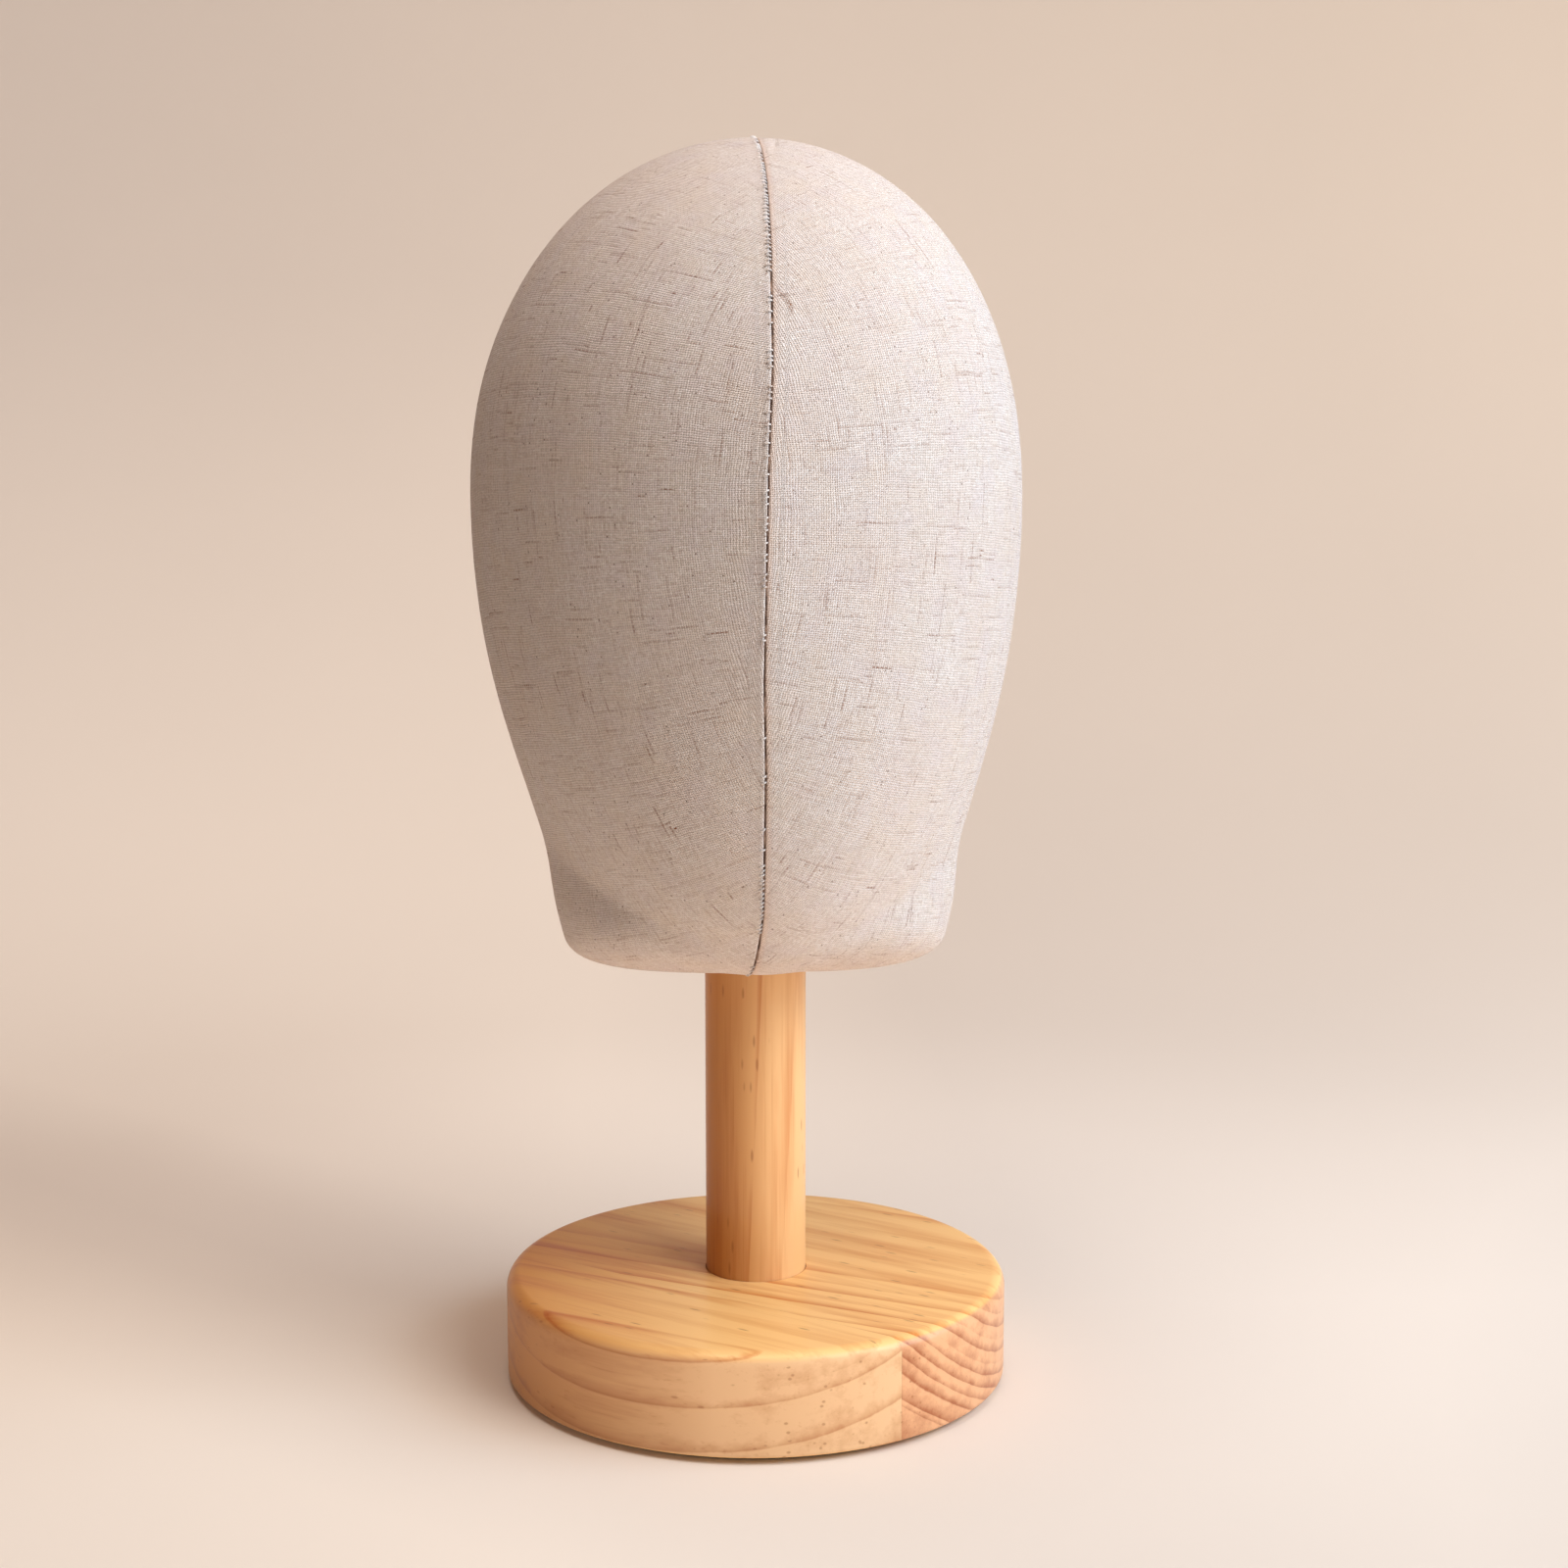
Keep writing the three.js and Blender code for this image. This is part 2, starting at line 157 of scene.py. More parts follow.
class LinenSettings(bpy.types.PropertyGroup):
    """Sizes and colours of the linen cover and its seam."""

    thread_spacing: length("Thread spacing", 0.66, "From one thread of the weave to the next")
    thickness: length("Cloth thickness", 0.9, "Thickness of the linen with its glue")
    seam_gap: length("Seam gap", 0.58, "Width of the groove between the two panels")
    stitch_spacing: length("Stitch spacing", 1.5, "From one whip stitch to the next")
    thread_diameter: length("Thread diameter", 0.48, "Thickness of the sewing thread")
    pale: colour("Pale thread", "#f1ebe8", "Colour of the palest linen threads")
    warm: colour("Warm thread", "#d9cbc2", "Colour of the darker linen threads")
    slub: colour("Slub", "#82481f", "Colour of the thick unbleached slubs")
    groove: colour("Groove thread", "#50301c", "Colour of the thread down in the seam")


class StandSettings(bpy.types.PropertyGroup):
    """Colours of the pine stand."""

    early: colour("Early wood", "#fdcd88", "Pale part of a growth ring on the base's top")
    late: colour("Late wood", "#d47a28", "Dark part of a growth ring on the base's top")
    side_early: colour("Side, early wood", "#e7be91", "Pale part of a ring on the base's turned side")
    side_late: colour("Side, late wood", "#bf8558", "Dark part of a ring on the base's turned side")
    end_early: colour("End grain, early", "#e3ad81", "Pale part of a ring on cut ends")
    end_late: colour("End grain, late", "#a8643e", "Dark part of a ring on cut ends")
    post_early: colour("Post, early wood", "#f2c086", "Pale part of a ring in the post")
    post_late: colour("Post, late wood", "#c66c20", "Dark part of a ring in the post")


class StageSettings(bpy.types.PropertyGroup):
    """Light and background."""

    backdrop: colour("Backdrop", "#ebe3da", "Colour of the paper sweep")
    shade: colour("Shade", "#20180f", "Colour that the wall of the sweep throws back on the head")
    lift: colour("Lift", "#776c5f", "Brightness added to the paper where it is seen, not on the head")
    bounce: colour("Bounce", "#dcc4ae", "Light thrown up by the floor, added to what it reflects")
    key_power: power("Key power", 10.9, "Power of the large soft light in front at the right")
    key_colour: colour("Key colour", "#fffffd", "Colour of the key light")
    side_power: power("Side power", 5.4, "Power of the broad soft light at the right")
    side_colour: colour("Side colour", "#d1e9ff", "Colour of the side light")
    top_power: power("Top power", 9.4, "Power of the soft light overhead")
    top_colour: colour("Top colour", "#f8f0e9", "Colour of the top light")
    fill_colour: colour("Fill colour", "#ffb982", "Colour of the light from all around")
    fill_strength: amount("Fill strength", 0.38, "Strength of the light from all around")


class DisplayHeadSettings(bpy.types.PropertyGroup):
    """All settings of the display head."""

    linen: PointerProperty(type=LinenSettings)
    stand: PointerProperty(type=StandSettings)
    stage: PointerProperty(type=StageSettings)


# Shader building


def node(tree, kind, *values, inputs=None, stops=None, **settings):
    """Add a shader node with its settings and links.

    Kind may end in an operation. Values fill the inputs in order, and capitalised keywords or inputs fill
    them by name: each is a plain value, a hex colour, an output, or a node, which gives its first output.
    Stops are a colour ramp's positions and greys or colours."""
    kind, _, operation = kind.partition(".")
    made = tree.nodes.new("ShaderNode" + kind)
    if operation:
        made.operation = operation
    named = dict(inputs or {})
    for name, setting in settings.items():
        if name[0].isupper():
            named[name] = setting
        else:
            setattr(made, name, setting)
    if stops:
        elements = made.color_ramp.elements
        elements.remove(elements[1])
        for k, (place, level) in enumerate(stops):
            element = elements.new(place) if k else elements[0]
            element.position = place
            element.color = level if hasattr(level, "__len__") else (level, level, level, 1)
    enabled = [s for s in made.inputs if s.enabled]
    wanted = list(zip(enabled, values))
    wanted += [(next(s for s in enabled if s.name == name), value) for name, value in named.items()]
    for socket, value in wanted:
        if isinstance(value, bpy.types.Node):
            value = next(s for s in value.outputs if s.enabled)
        if isinstance(value, bpy.types.NodeSocket):
            tree.links.new(value, socket)
        else:
            socket.default_value = linear(value) if isinstance(value, str) else value
    return made


def new_material(name):
    """A new material, and the node function for its empty tree."""
    made = bpy.data.materials.new(name)
    made.use_nodes = True
    made.node_tree.nodes.clear()
    return made, partial(node, made.node_tree)


def surface(add, colour, rough, height, depth, plain=None):
    """Finish a material from its colour, roughness, relief in metres and the shader's plain values."""
    relief = add("Bump", Height=height, Distance=depth)
    linked = {"Base Color": colour, "Roughness": rough, "Normal": relief}
    add("OutputMaterial", Surface=add("BsdfPrincipled", inputs=linked | (plain or {})))


def millimetres(add, turn=0, stretch=(1, 1, 1)):
    """The piece's own coordinates in millimetres, turned about Z by degrees and then stretched."""
    place = add("TexCoord").outputs["Object"]
    place = add("VectorRotate", place, Angle=math.radians(-turn), rotation_type="Z_AXIS")
    return add("VectorMath.MULTIPLY", place, [s / MM for s in stretch])


# Meshes


def placed(name, data):
    """A new object for its data, in the scene."""
    made = bpy.data.objects.new(name, data)
    bpy.context.scene.collection.objects.link(made)
    return made


def dressed(mesh, finish, sharp):
    """An object for a finished mesh, with its material, smooth except where it turns by more than sharp."""
    mesh.materials.append(finish)
    mesh.validate()
    mesh.polygons.foreach_set("use_smooth", [True] * len(mesh.polygons))
    mesh.set_sharp_from_angle(angle=math.radians(sharp))
    return placed(mesh.name, mesh)


def points_mesh(name, points, faces):
    """A mesh from points in millimetres."""
    mesh = bpy.data.meshes.new(name)
    mesh.from_pydata((np.asarray(points) * MM).tolist(), [], faces)
    return mesh


def from_bmesh(made, name, finish, sharp=30):
    """An object for a finished bmesh."""
    mesh = bpy.data.meshes.new(name)
    made.to_mesh(mesh)
    made.free()
    return dressed(mesh, finish, sharp)


def corner_points(mesh):
    """The point at each of a mesh's face corners."""
    corners = np.empty(len(mesh.loops), int)
    mesh.loops.foreach_get("vertex_index", corners)
    return corners


def unit(vectors):
    """Vectors brought to a length of one."""
    return vectors / np.linalg.norm(vectors, axis=-1, keepdims=True)


def arc(centre, radius, start, end, steps):
    """Points of a profile's round corner, from one angle to another in degrees."""
    angles = np.radians(np.linspace(start, end, steps + 1))
    return [(centre[0] + radius * math.cos(a), centre[1] + radius * math.sin(a)) for a in angles]


def spun(profile, sides, closed=True):
    """A form turned about Z from a profile of (radius, height) pairs in millimetres, as a bmesh."""
    made = bmesh.new()
    rings = []
    for radius, height in profile:
        turns = [2 * math.pi * k / sides for k in range(sides if radius else 1)]
        spots = [(radius * MM * math.cos(a), radius * MM * math.sin(a), height * MM) for a in turns]
        rings.append([made.verts.new(spot) for spot in spots])
    for here, there in zip(rings, rings[1:] + rings[:closed]):
        if len(here) == len(there) == 1:
            continue
        for k in range(sides):
            corners = [here[k % len(here)], here[(k + 1) % len(here)]]
            corners += [there[(k + 1) % len(there)], there[k % len(there)]]
            made.faces.new(list(dict.fromkeys(corners)))
    if closed:
        bmesh.ops.recalc_face_normals(made, faces=made.faces)
    return made


def tubes(lines, radius, sides):
    """Points and faces of round tubes along lines of points, with closed ends."""
    points, faces = [], []
    for line in lines:
        along = unit(np.gradient(np.asarray(line, float), axis=0))
        first = unit(np.cross(along, TUBE_START))
        start = len(points)
        for spot, one, other in zip(line, first, np.cross(along, first)):
            turns = [2 * math.pi * k / sides for k in range(sides)]
            points += [spot + radius * (one * math.cos(turn) + other * math.sin(turn)) for turn in turns]
        for here in range(start, len(points) - sides, sides):
            ring = [(here + k, here + (k + 1) % sides) for k in range(sides)]
            faces += [(a, b, b + sides, a + sides) for a, b in ring]
        faces.append(tuple(reversed(range(start, start + sides))))
        faces.append(tuple(range(len(points) - sides, len(points))))
    return points, faces


# Form of the head


def quarter_reach(quarter, height):
    """How far one quarter of the head reaches from its middle line at a height."""
    rise = height - quarter["height"]
    above = rise > 0
    share = np.where(above, rise / (HEAD_HEIGHT - quarter["height"]), -rise / quarter["tail"])
    power = np.where(above, quarter["dome"], quarter["taper"])
    return quarter["reach"] * np.sqrt(np.maximum(0, 1 - np.minimum(share, 1) ** power))


def oval_reach(angle, across, along, power):
    """Distance from the middle line to the edge of an oval, in the direction of an angle."""
    x = np.abs(np.cos(angle)) / np.maximum(across, 1e-3)
    y = np.abs(np.sin(angle)) / np.maximum(along, 1e-3)
    return (x**power + y**power) ** (-1 / power)


def ridge_fall(angle, height):
    """The share by which the front falls back on both sides of the ridge that carries the seam."""
    beside = np.interp(height, *zip(*FRONT_SEAM)) - sway_at(height)
    side = np.cos(angle)
    off = np.abs(side - beside / np.maximum(quarter_reach(FRONT, height), NECK_FRONT) * (1 - np.abs(side)))
    strength = np.exp(-(((height - RIDGE["height"]) / RIDGE["spread"]) ** 2))
    return np.where(np.sin(angle) < 0, RIDGE["slope"] * strength * off * (1 - off), 0)


def wall_reach(angle, height):
    """The wall before its lower edge is rounded: the egg and the neck, softly joined."""
    forward = np.sin(angle) < 0
    along = np.where(forward, quarter_reach(FRONT, height), quarter_reach(BACK, height))
    egg = oval_reach(angle, quarter_reach(SIDE, height), along, SECTION_POWER)
    flare = NECK_FLARE * height
    neck = oval_reach(angle, NECK_SIDE + flare, np.where(forward, NECK_FRONT, NECK_BACK) + flare, 2)
    overlap = np.maximum(JAW_BLEND - np.abs(egg - neck), 0) / JAW_BLEND
    share = height / (HEAD_HEIGHT / 2)
    hollow = overlap**2 * JAW_BLEND / 4 * (1 - np.minimum(share, 1) ** JAW_FADE) ** 2
    wall = np.where(share > 1, egg, np.maximum(egg, neck) + hollow)
    return wall * (1 - ridge_fall(angle, height))


def sway_at(height):
    """How far the form leans to one side at a height."""
    share = np.clip(height / HEAD_HEIGHT, 0, 1)
    return -SIDEWAYS_SWAY * np.sin(math.pi * share**SWAY_POWER)


def under_chin(angle, height, rounding):
    """How far the form stands out under the jaw: a crease smiling round the front, and its flare below."""

    def up_to(level):
        """Distance along the form from its lower edge up to a height."""
        return rounding * np.arccos(np.clip(1 - level / rounding, 0, 1)) + np.maximum(level - rounding, 0)

    forward = np.clip((-np.sin(angle) + CREASE_ROUND[0]) / CREASE_ROUND[1], 0, 1)
    crease = up_to(CREASE["low"] + CREASE["rise"] * np.cos(angle) ** 2)
    share = np.clip(up_to(height) / crease, 0, 1)
    lean, fall = 1 + CREASE["steep"] * forward, CREASE["fall"]
    peak = lean / (lean + fall)
    flare = CREASE["flare"] * (share / peak) ** lean * ((1 - share) / (1 - peak)) ** fall
    beyond = (up_to(height) - crease - CREASE_DENT["above"]) / CREASE_DENT["width"]
    dent = CREASE_DENT["depth"] * np.exp(-(beyond**2))
    return (flare - dent) * forward**2 * (3 - 2 * forward)


def form_point(angle, station):
    """Points of the form. A station runs to 1 round the lower edge, to 2 up the wall, to 3 over the dome."""
    angle, station = np.broadcast_arrays(np.asarray(angle, float), np.asarray(station, float))
    rounding = NECK_ROUNDING + (CHIN_ROUNDING - NECK_ROUNDING) * np.maximum(-np.sin(angle), 0) ** 2
    turn = np.clip(station, 0, 1) * math.pi / 2
    edge = rounding * (1 - np.cos(turn))
    wall = rounding + (SIDE["height"] - rounding) * (station - 1)
    rise = np.sin(np.clip(station - 2, 0, 1) * math.pi / 2)
    dome = SIDE["height"] + (HEAD_HEIGHT - SIDE["height"]) * rise
    height = np.where(station < 1, edge, np.where(station < 2, wall, dome))
    cut = np.where(station < 1, rounding * (1 - np.sin(turn)), 0)
    reach = wall_reach(angle, height) - cut + under_chin(angle, height, rounding)
    across = reach * np.cos(angle) + sway_at(height)
    along = reach * np.sin(angle) + MIDDLE_BEHIND_POST
    return np.stack([across, along, NECK_BOTTOM + height], axis=-1)


def form_normal(angle, station):
    """Outward direction of the form at its points."""
    step = 1e-3
    low = np.maximum(station - step, 0)
    high = np.minimum(station + step, 3 - step / 4)
    up = form_point(angle, high) - form_point(angle, low)
    round_way = form_point(angle + step, station) - form_point(angle - step, station)
    return unit(np.cross(round_way, up))


def seam_angle(route, middle, station, aside):
    """Angles at which the form stands aside of the seam's route, near the front or back middle angle."""
    angles = middle + np.radians(np.linspace(*SEAM_SEARCH))
    found = []
    for one in np.atleast_1d(station):
        points = form_point(angles, one)
        heights = points[:, 2] - NECK_BOTTOM
        wanted = np.interp(heights, *zip(*route)) + aside
        order = 1 if middle < 0 else -1
        found.append(np.interp(0, ((points[:, 0] - wanted) * order), angles))
    return np.array(found)


# Linen panels

EDGE_STEPS = [0, 0.08, 0.2, 0.36, 0.56, 0.8, 1.1, 1.5, 2.1, 3.0, 4.2]  # millimetres from the folded edge
BETWEEN_STEPS = 118
DENSE_STEPS = 361
HEM_ROWS, RIM_ROWS, WALL_ROWS, DOME_ROWS = 8, 12, 120, 84
CROWN_STATION = 2.991
UNWRAP_STRIDE = 3
WARP_BETWEEN = (0.3, 0.6)  # shares of the rows between which the warp is set upright
FOLD_RADIUS = 0.4
FOLD_RIDGE = 0.08  # the left panel's folded edge stands this proud
FOLD_DIP = 0.16  # the right panel's edge is drawn down this far
LUMP = 0.14
# A tuck by the crown, beside the seam
DART = {"low": 229, "high": 237, "foot": 3.4, "lean": 0.35, "depth": 0.3, "width": 0.5}
HEM_EDGE = TUBE_OUTSIDE + 1.0
HEM_PLEATS = 26
PLEAT_HEIGHT = 0.35
TEXTURE_APART = 500  # millimetres from each panel's cloth to the middle, so that their weaves differ
# Stations of a panel's rows, from the rounded lower edge up to the crown
STATIONS = np.concatenate([np.arange(RIM_ROWS) / RIM_ROWS, 1 + np.arange(WALL_ROWS) / WALL_ROWS])
STATIONS = np.concatenate([STATIONS, np.linspace(2, CROWN_STATION, DOME_ROWS)])
SEAMS = ((FRONT_SEAM, -math.pi / 2), (BACK_SEAM, math.pi / 2))


def smooth_noise(points, scale, offset):
    """Smooth noise from about -1 to 1 at points in millimetres, with features of the given size."""
    flat = points.reshape(-1, 3) / scale + offset
    return np.array([noise.noise(Vector(p)) for p in flat]).reshape(points.shape[:-1])


def panel_angles(side, gap):
    """Angles of one panel's columns at each station, and each point's distance from the nearer seam."""
    start, stop = (seam_angle(*seam, STATIONS, side * gap / 2) for seam in SEAMS)
    if side < 0:
        stop = stop - 2 * math.pi
    dense = start[:, None] + (stop - start)[:, None] * np.linspace(0, 1, DENSE_STEPS)
    steps = np.linalg.norm(np.diff(form_point(dense, STATIONS[:, None]), axis=1), axis=2)
    edge = np.array(EDGE_STEPS)
    angles, distances = [], []
    for row, lengths in zip(dense, steps):
        along = np.concatenate([[0], np.cumsum(lengths)])
        total = along[-1]
        near = edge * min(1, total / (8 * edge[-1]))
        middle = np.linspace(near[-1], total - near[-1], BETWEEN_STEPS + 2)[1:-1]
        places = np.concatenate([near, middle, (total - near)[::-1]])
        angles.append(np.interp(places, along, row))
        distances.append(np.minimum(places, total - places))
    return np.array(angles), np.array(distances)


def flat_pattern(points, side):
    """Cloth coordinates of a panel in millimetres: the panel laid flat with the least stretch."""
    rows = sorted({*range(0, len(points), UNWRAP_STRIDE), len(points) - 1})
    columns = sorted({*range(0, points.shape[1], UNWRAP_STRIDE), points.shape[1] - 1})
    coarse = points[np.ix_(rows, columns)]
    mesh = points_mesh("pattern", coarse.reshape(-1, 3), grid_quads(len(rows), len(columns)))
    mesh.uv_layers.new(name="flat")
    helper = placed("pattern", mesh)
    for other in bpy.context.selected_objects:
        other.select_set(False)
    bpy.context.view_layer.objects.active = helper
    helper.select_set(True)
    bpy.ops.object.mode_set(mode="EDIT")
    bpy.ops.mesh.select_all(action="SELECT")
    bpy.ops.uv.unwrap(method="MINIMUM_STRETCH", fill_holes=False, margin=0)
    bpy.ops.object.mode_set(mode="OBJECT")
    loose = np.empty(len(mesh.loops) * 2)
    mesh.uv_layers["flat"].data.foreach_get("uv", loose)
    flat = np.empty((len(mesh.vertices), 2))
    flat[corner_points(mesh)] = loose.reshape(-1, 2)
    flat = flat.reshape(len(rows), len(columns), 2)
    bpy.data.objects.remove(helper)
    bpy.data.meshes.remove(mesh)

    # Turned so that the warp runs up the middle of the panel, and scaled to the panel's real area
    middle = len(columns) // 2
    low, high = (int(len(rows) * share) for share in WARP_BETWEEN)
    up = unit(flat[high, middle] - flat[low, middle])
    laid = np.stack([flat @ np.array([up[1], -up[0]]), flat @ up], axis=-1)
    laid *= math.sqrt(grid_area(coarse) / grid_area(np.pad(laid, ((0, 0), (0, 0), (0, 1)))))
    if (laid[low, -1, 0] - laid[low, 0, 0]) * side < 0:
        laid[..., 0] *= -1
    laid -= laid[0, middle]
    full = np.empty(points.shape[:2] + (2,))
    for axis in (0, 1):
        wide = [np.interp(np.arange(points.shape[1]), columns, row) for row in laid[..., axis]]
        tall = [np.interp(np.arange(len(points)), rows, line) for line in np.array(wide).T]
        full[..., axis] = np.array(tall).T
    return full


def grid_quads(rows, columns):
    """Faces of a grid of points, listed row by row."""
    return [
        (r * columns + c, r * columns + c + 1, (r + 1) * columns + c + 1, (r + 1) * columns + c)
        for r in range(rows - 1)
        for c in range(columns - 1)
    ]


def grid_area(points):
    """Area of a grid's faces, in the square of its unit."""
    first = points[1:, 1:] - points[:-1, :-1]
    second = points[1:, :-1] - points[:-1, 1:]
    return np.linalg.norm(np.cross(first, second), axis=-1).sum() / 2


def panel_relief(points, distance, side):
    """How far the linen's outer face stands out of the form, from its lumps and its folded edge."""
    lumps = LUMP * smooth_noise(points, 34, 3) + LUMP / 3 * smooth_noise(points, 9, 7)
    fold = np.maximum(FOLD_RADIUS - distance, 0)
    drop = FOLD_RADIUS - np.sqrt(np.maximum(FOLD_RADIUS**2 - fold**2, 0))
    if side < 0:
        return lumps + FOLD_RIDGE * np.exp(-(((distance - 0.9) / 0.8) ** 2)) - drop
    height = points[..., 2] - NECK_BOTTOM
    over = np.clip((height - DART["low"]) / (DART["high"] - DART["low"]), 0, 1)
    aside = (points[..., 0] - DART["foot"] - DART["lean"] * (height - DART["low"])) / DART["width"]
    in_front = points[..., 1] < MIDDLE_BEHIND_POST
    tuck = DART["depth"] * np.sin(math.pi * over) * np.exp(-(aside**2)) * in_front
    return lumps - FOLD_DIP * np.exp(-distance / 1.6) - drop - tuck


def hem_rows(edge_points):
    """Rows of the hem from its cut edge round the tube out to the first row of the lower edge."""
    rows = []
    flat = edge_points * (1, 1, 0)
    inner = unit(flat) * HEM_EDGE
    turns = np.arctan2(flat[:, 1], flat[:, 0])
    pleats = np.sin(turns * HEM_PLEATS + np.sin(turns * 5)) ** 2
    for share in np.arange(HEM_ROWS) / HEM_ROWS:
        row = inner + (flat - inner) * share
        row[:, 2] = edge_points[:, 2] + PLEAT_HEIGHT * pleats * (1 - share) ** 2
        rows.append(row)
    return np.array(rows)


def linen_panel(side, settings, finish):
    """One panel of the cover, its flat size and its area: a thin closed sheet.

    Its mesh keeps the cloth coordinates and the distance from the seam, both in millimetres."""
    gap, thickness = settings.seam_gap / MM, settings.thickness / MM
    angles, distance = panel_angles(side, gap)
    face, out = (build(angles, STATIONS[:, None]) for build in (form_point, form_normal))
    cloth = flat_pattern(face, side)
    outer = face + out * panel_relief(face, distance, side)[..., None]
    inner = face - out * thickness
    outer[0, :, 2] = NECK_BOTTOM
    hem = hem_rows(outer[0])
    hem_inner = hem + (0, 0, thickness)
    reach = np.linalg.norm(hem - outer[0], axis=2, keepdims=True)
    stride = np.linalg.norm(face[0] - face[1], axis=1, keepdims=True)
    hem_cloth = cloth[0] + (cloth[0] - cloth[1]) * reach / stride
    outer = np.concatenate([hem, outer])
    inner = np.concatenate([hem_inner, inner])
    cloth = np.concatenate([hem_cloth, cloth])
    distance = np.concatenate([np.repeat(distance[:1], HEM_ROWS, axis=0), distance])

    rows, columns = outer.shape[:2]
    count = rows * columns
    top = np.array([[side * gap / 2, MIDDLE_BEHIND_POST, NECK_BOTTOM + HEAD_HEIGHT]])
    points = np.concatenate(
        [outer.reshape(-1, 3), inner.reshape(-1, 3), top - (0, 0, FOLD_RADIUS), top - (0, 0, thickness)]
    )
    top_outer, top_inner = 2 * count, 2 * count + 1
    faces = grid_quads(rows, columns)
    faces += [tuple(count + k for k in reversed(quad)) for quad in faces]
    last = (rows - 1) * columns
    for c in range(columns - 1):
        faces.append((c + 1, c, count + c, count + c + 1))
        faces.append((last + c, last + c + 1, top_outer))
        faces.append((count + last + c + 1, count + last + c, top_inner))
    for r in range(rows - 1):
        here, above = r * columns, (r + 1) * columns
        faces.append((here, above, count + above, count + here))
        here, above = here + columns - 1, above + columns - 1
        faces.append((above, here, count + here, count + above))
    faces.append((last, top_outer, top_inner, count + last))
    faces.append((top_outer, last + columns - 1, count + last + columns - 1, top_inner))
    if side < 0:
        faces = [tuple(reversed(face)) for face in faces]

    name = "linen_panel_left" if side < 0 else "linen_panel_right"
    piece = dressed(points_mesh(name, points, faces), finish, 180)
    flat = cloth.reshape(-1, 2)
    flat = np.concatenate([flat, flat, [cloth[-1, columns // 2]] * 2])
    apart = distance.reshape(-1)
    apart = np.concatenate([apart, apart, [0, 0]])
    layer = piece.data.uv_layers.new(name="cloth")
    flat += (side * TEXTURE_APART, 0)
    layer.data.foreach_set("uv", flat[corner_points(piece.data)].reshape(-1))
    seam = piece.data.attributes.new("from_seam", "FLOAT", "POINT")
    seam.data.foreach_set("value", apart)
    return piece, np.ptp(cloth.reshape(-1, 2), axis=0) * MM, grid_area(outer) * MM * MM


# Seam

GROOVE_FILL = 0.4  # the groove's thread has this radius, by the sewing thread's diameter
GROOVE_DEPTH = FOLD_RADIUS + 0.1
# Waves of that thread: their height, their turn per millimetre and where they start
GROOVE_ASIDE = ((0.05, 1.9, 0), (0.04, 0.7, 1))
GROOVE_DEEPER = ((0.12, 0.31, 0), (0.1, 0.83, 2))


def seam_route(step):
    """Points along the seam on the form, from the hem up the front, over the crown and down the back.

    Each comes with its outward direction, its direction along the seam and its place along it."""
    front, back = (seam_angle(*seam, STATIONS, 0) for seam in SEAMS)
    ways = np.concatenate([front, back[::-1]]), np.concatenate([STATIONS, STATIONS[::-1]])
    points, out = form_point(*ways), form_normal(*ways)
    places = np.concatenate([[0], np.cumsum(np.linalg.norm(np.diff(points, axis=0), axis=1))])
    wanted = np.arange(0, places[-1], step)
    line = np.stack([np.interp(wanted, places, row) for row in points.T], axis=1)
    away = unit(np.stack([np.interp(wanted, places, row) for row in out.T], axis=1))
    return line, away, unit(np.gradient(line, axis=0)), wanted


def waved(places, waves, level):
    """A value along a line: a level with waves laid over it."""
    return sum((size * np.sin(places * pace + first) for size, pace, first in waves), level)[:, None]


def groove_thread(settings, finish):
    """The dark thread that lies in the groove between the panels, from hem to hem."""
    line, away, onward, places = seam_route(0.8)
    across = np.cross(onward, away)
    path = line - away * waved(places, GROOVE_DEEPER, GROOVE_DEPTH) + across * waved(places, GROOVE_ASIDE, 0)
    points, faces = tubes([path], settings.thread_diameter / MM * GROOVE_FILL, 8)
    return dressed(points_mesh("seam_groove_thread", points, faces), finish, 180)


# One stitch from the left panel's face over its folded edge: across, along and out of the seam
STITCH = [(-1.35, -0.4, -0.2), (-1.05, -0.22, 0.18), (-0.6, 0, 0.28)]
STITCH += [(-0.18, 0.14, 0.12), (0.04, 0.2, -0.3)]
# Stretches along the front of the seam, in millimetres from the hem, and how often a stitch shows there
STITCHED = ((0, 44, 0.15), (44, 72, 0.7), (72, 140, 0.12), (140, 232, 0.4), (232, 278, 1))
HIDDEN_STITCHES = 0.35  # how often one shows on the back
STITCH_LENGTHS, STITCH_SLANTS, STITCH_PACES = (0.7, 1.15), (0.5, 1.8), (0.8, 1.25)
SEAM_ENDS = 1.5  # millimetres without a stitch at each end


def whip_stitches(settings, finish):
    """The small slanting stitches over the left panel's folded edge, closest where the photo shows them."""
    rng = random.Random(SEED)
    line, away, onward, places = seam_route(0.1)
    across = np.cross(onward, away)
    spacing = settings.stitch_spacing / MM
    lines = []
    place = SEAM_ENDS
    while place < places[-1] - SEAM_ENDS:
        often = next((share for low, high, share in STITCHED if low <= place < high), HIDDEN_STITCHES)
        if rng.random() < often:
            k = int(np.searchsorted(places, place))
            long = rng.uniform(*STITCH_LENGTHS)
            steep = rng.uniform(*STITCH_SLANTS)
            lines.append(
                [line[k] + across[k] * a * long + onward[k] * b * steep + away[k] * c for a, b, c in STITCH]
            )
        place += spacing * rng.uniform(*STITCH_PACES)
    points, faces = tubes(lines, settings.thread_diameter / MM / 2, 6)
    return dressed(points_mesh("seam_whip_stitches", points, faces), finish, 180)


# Linen materials

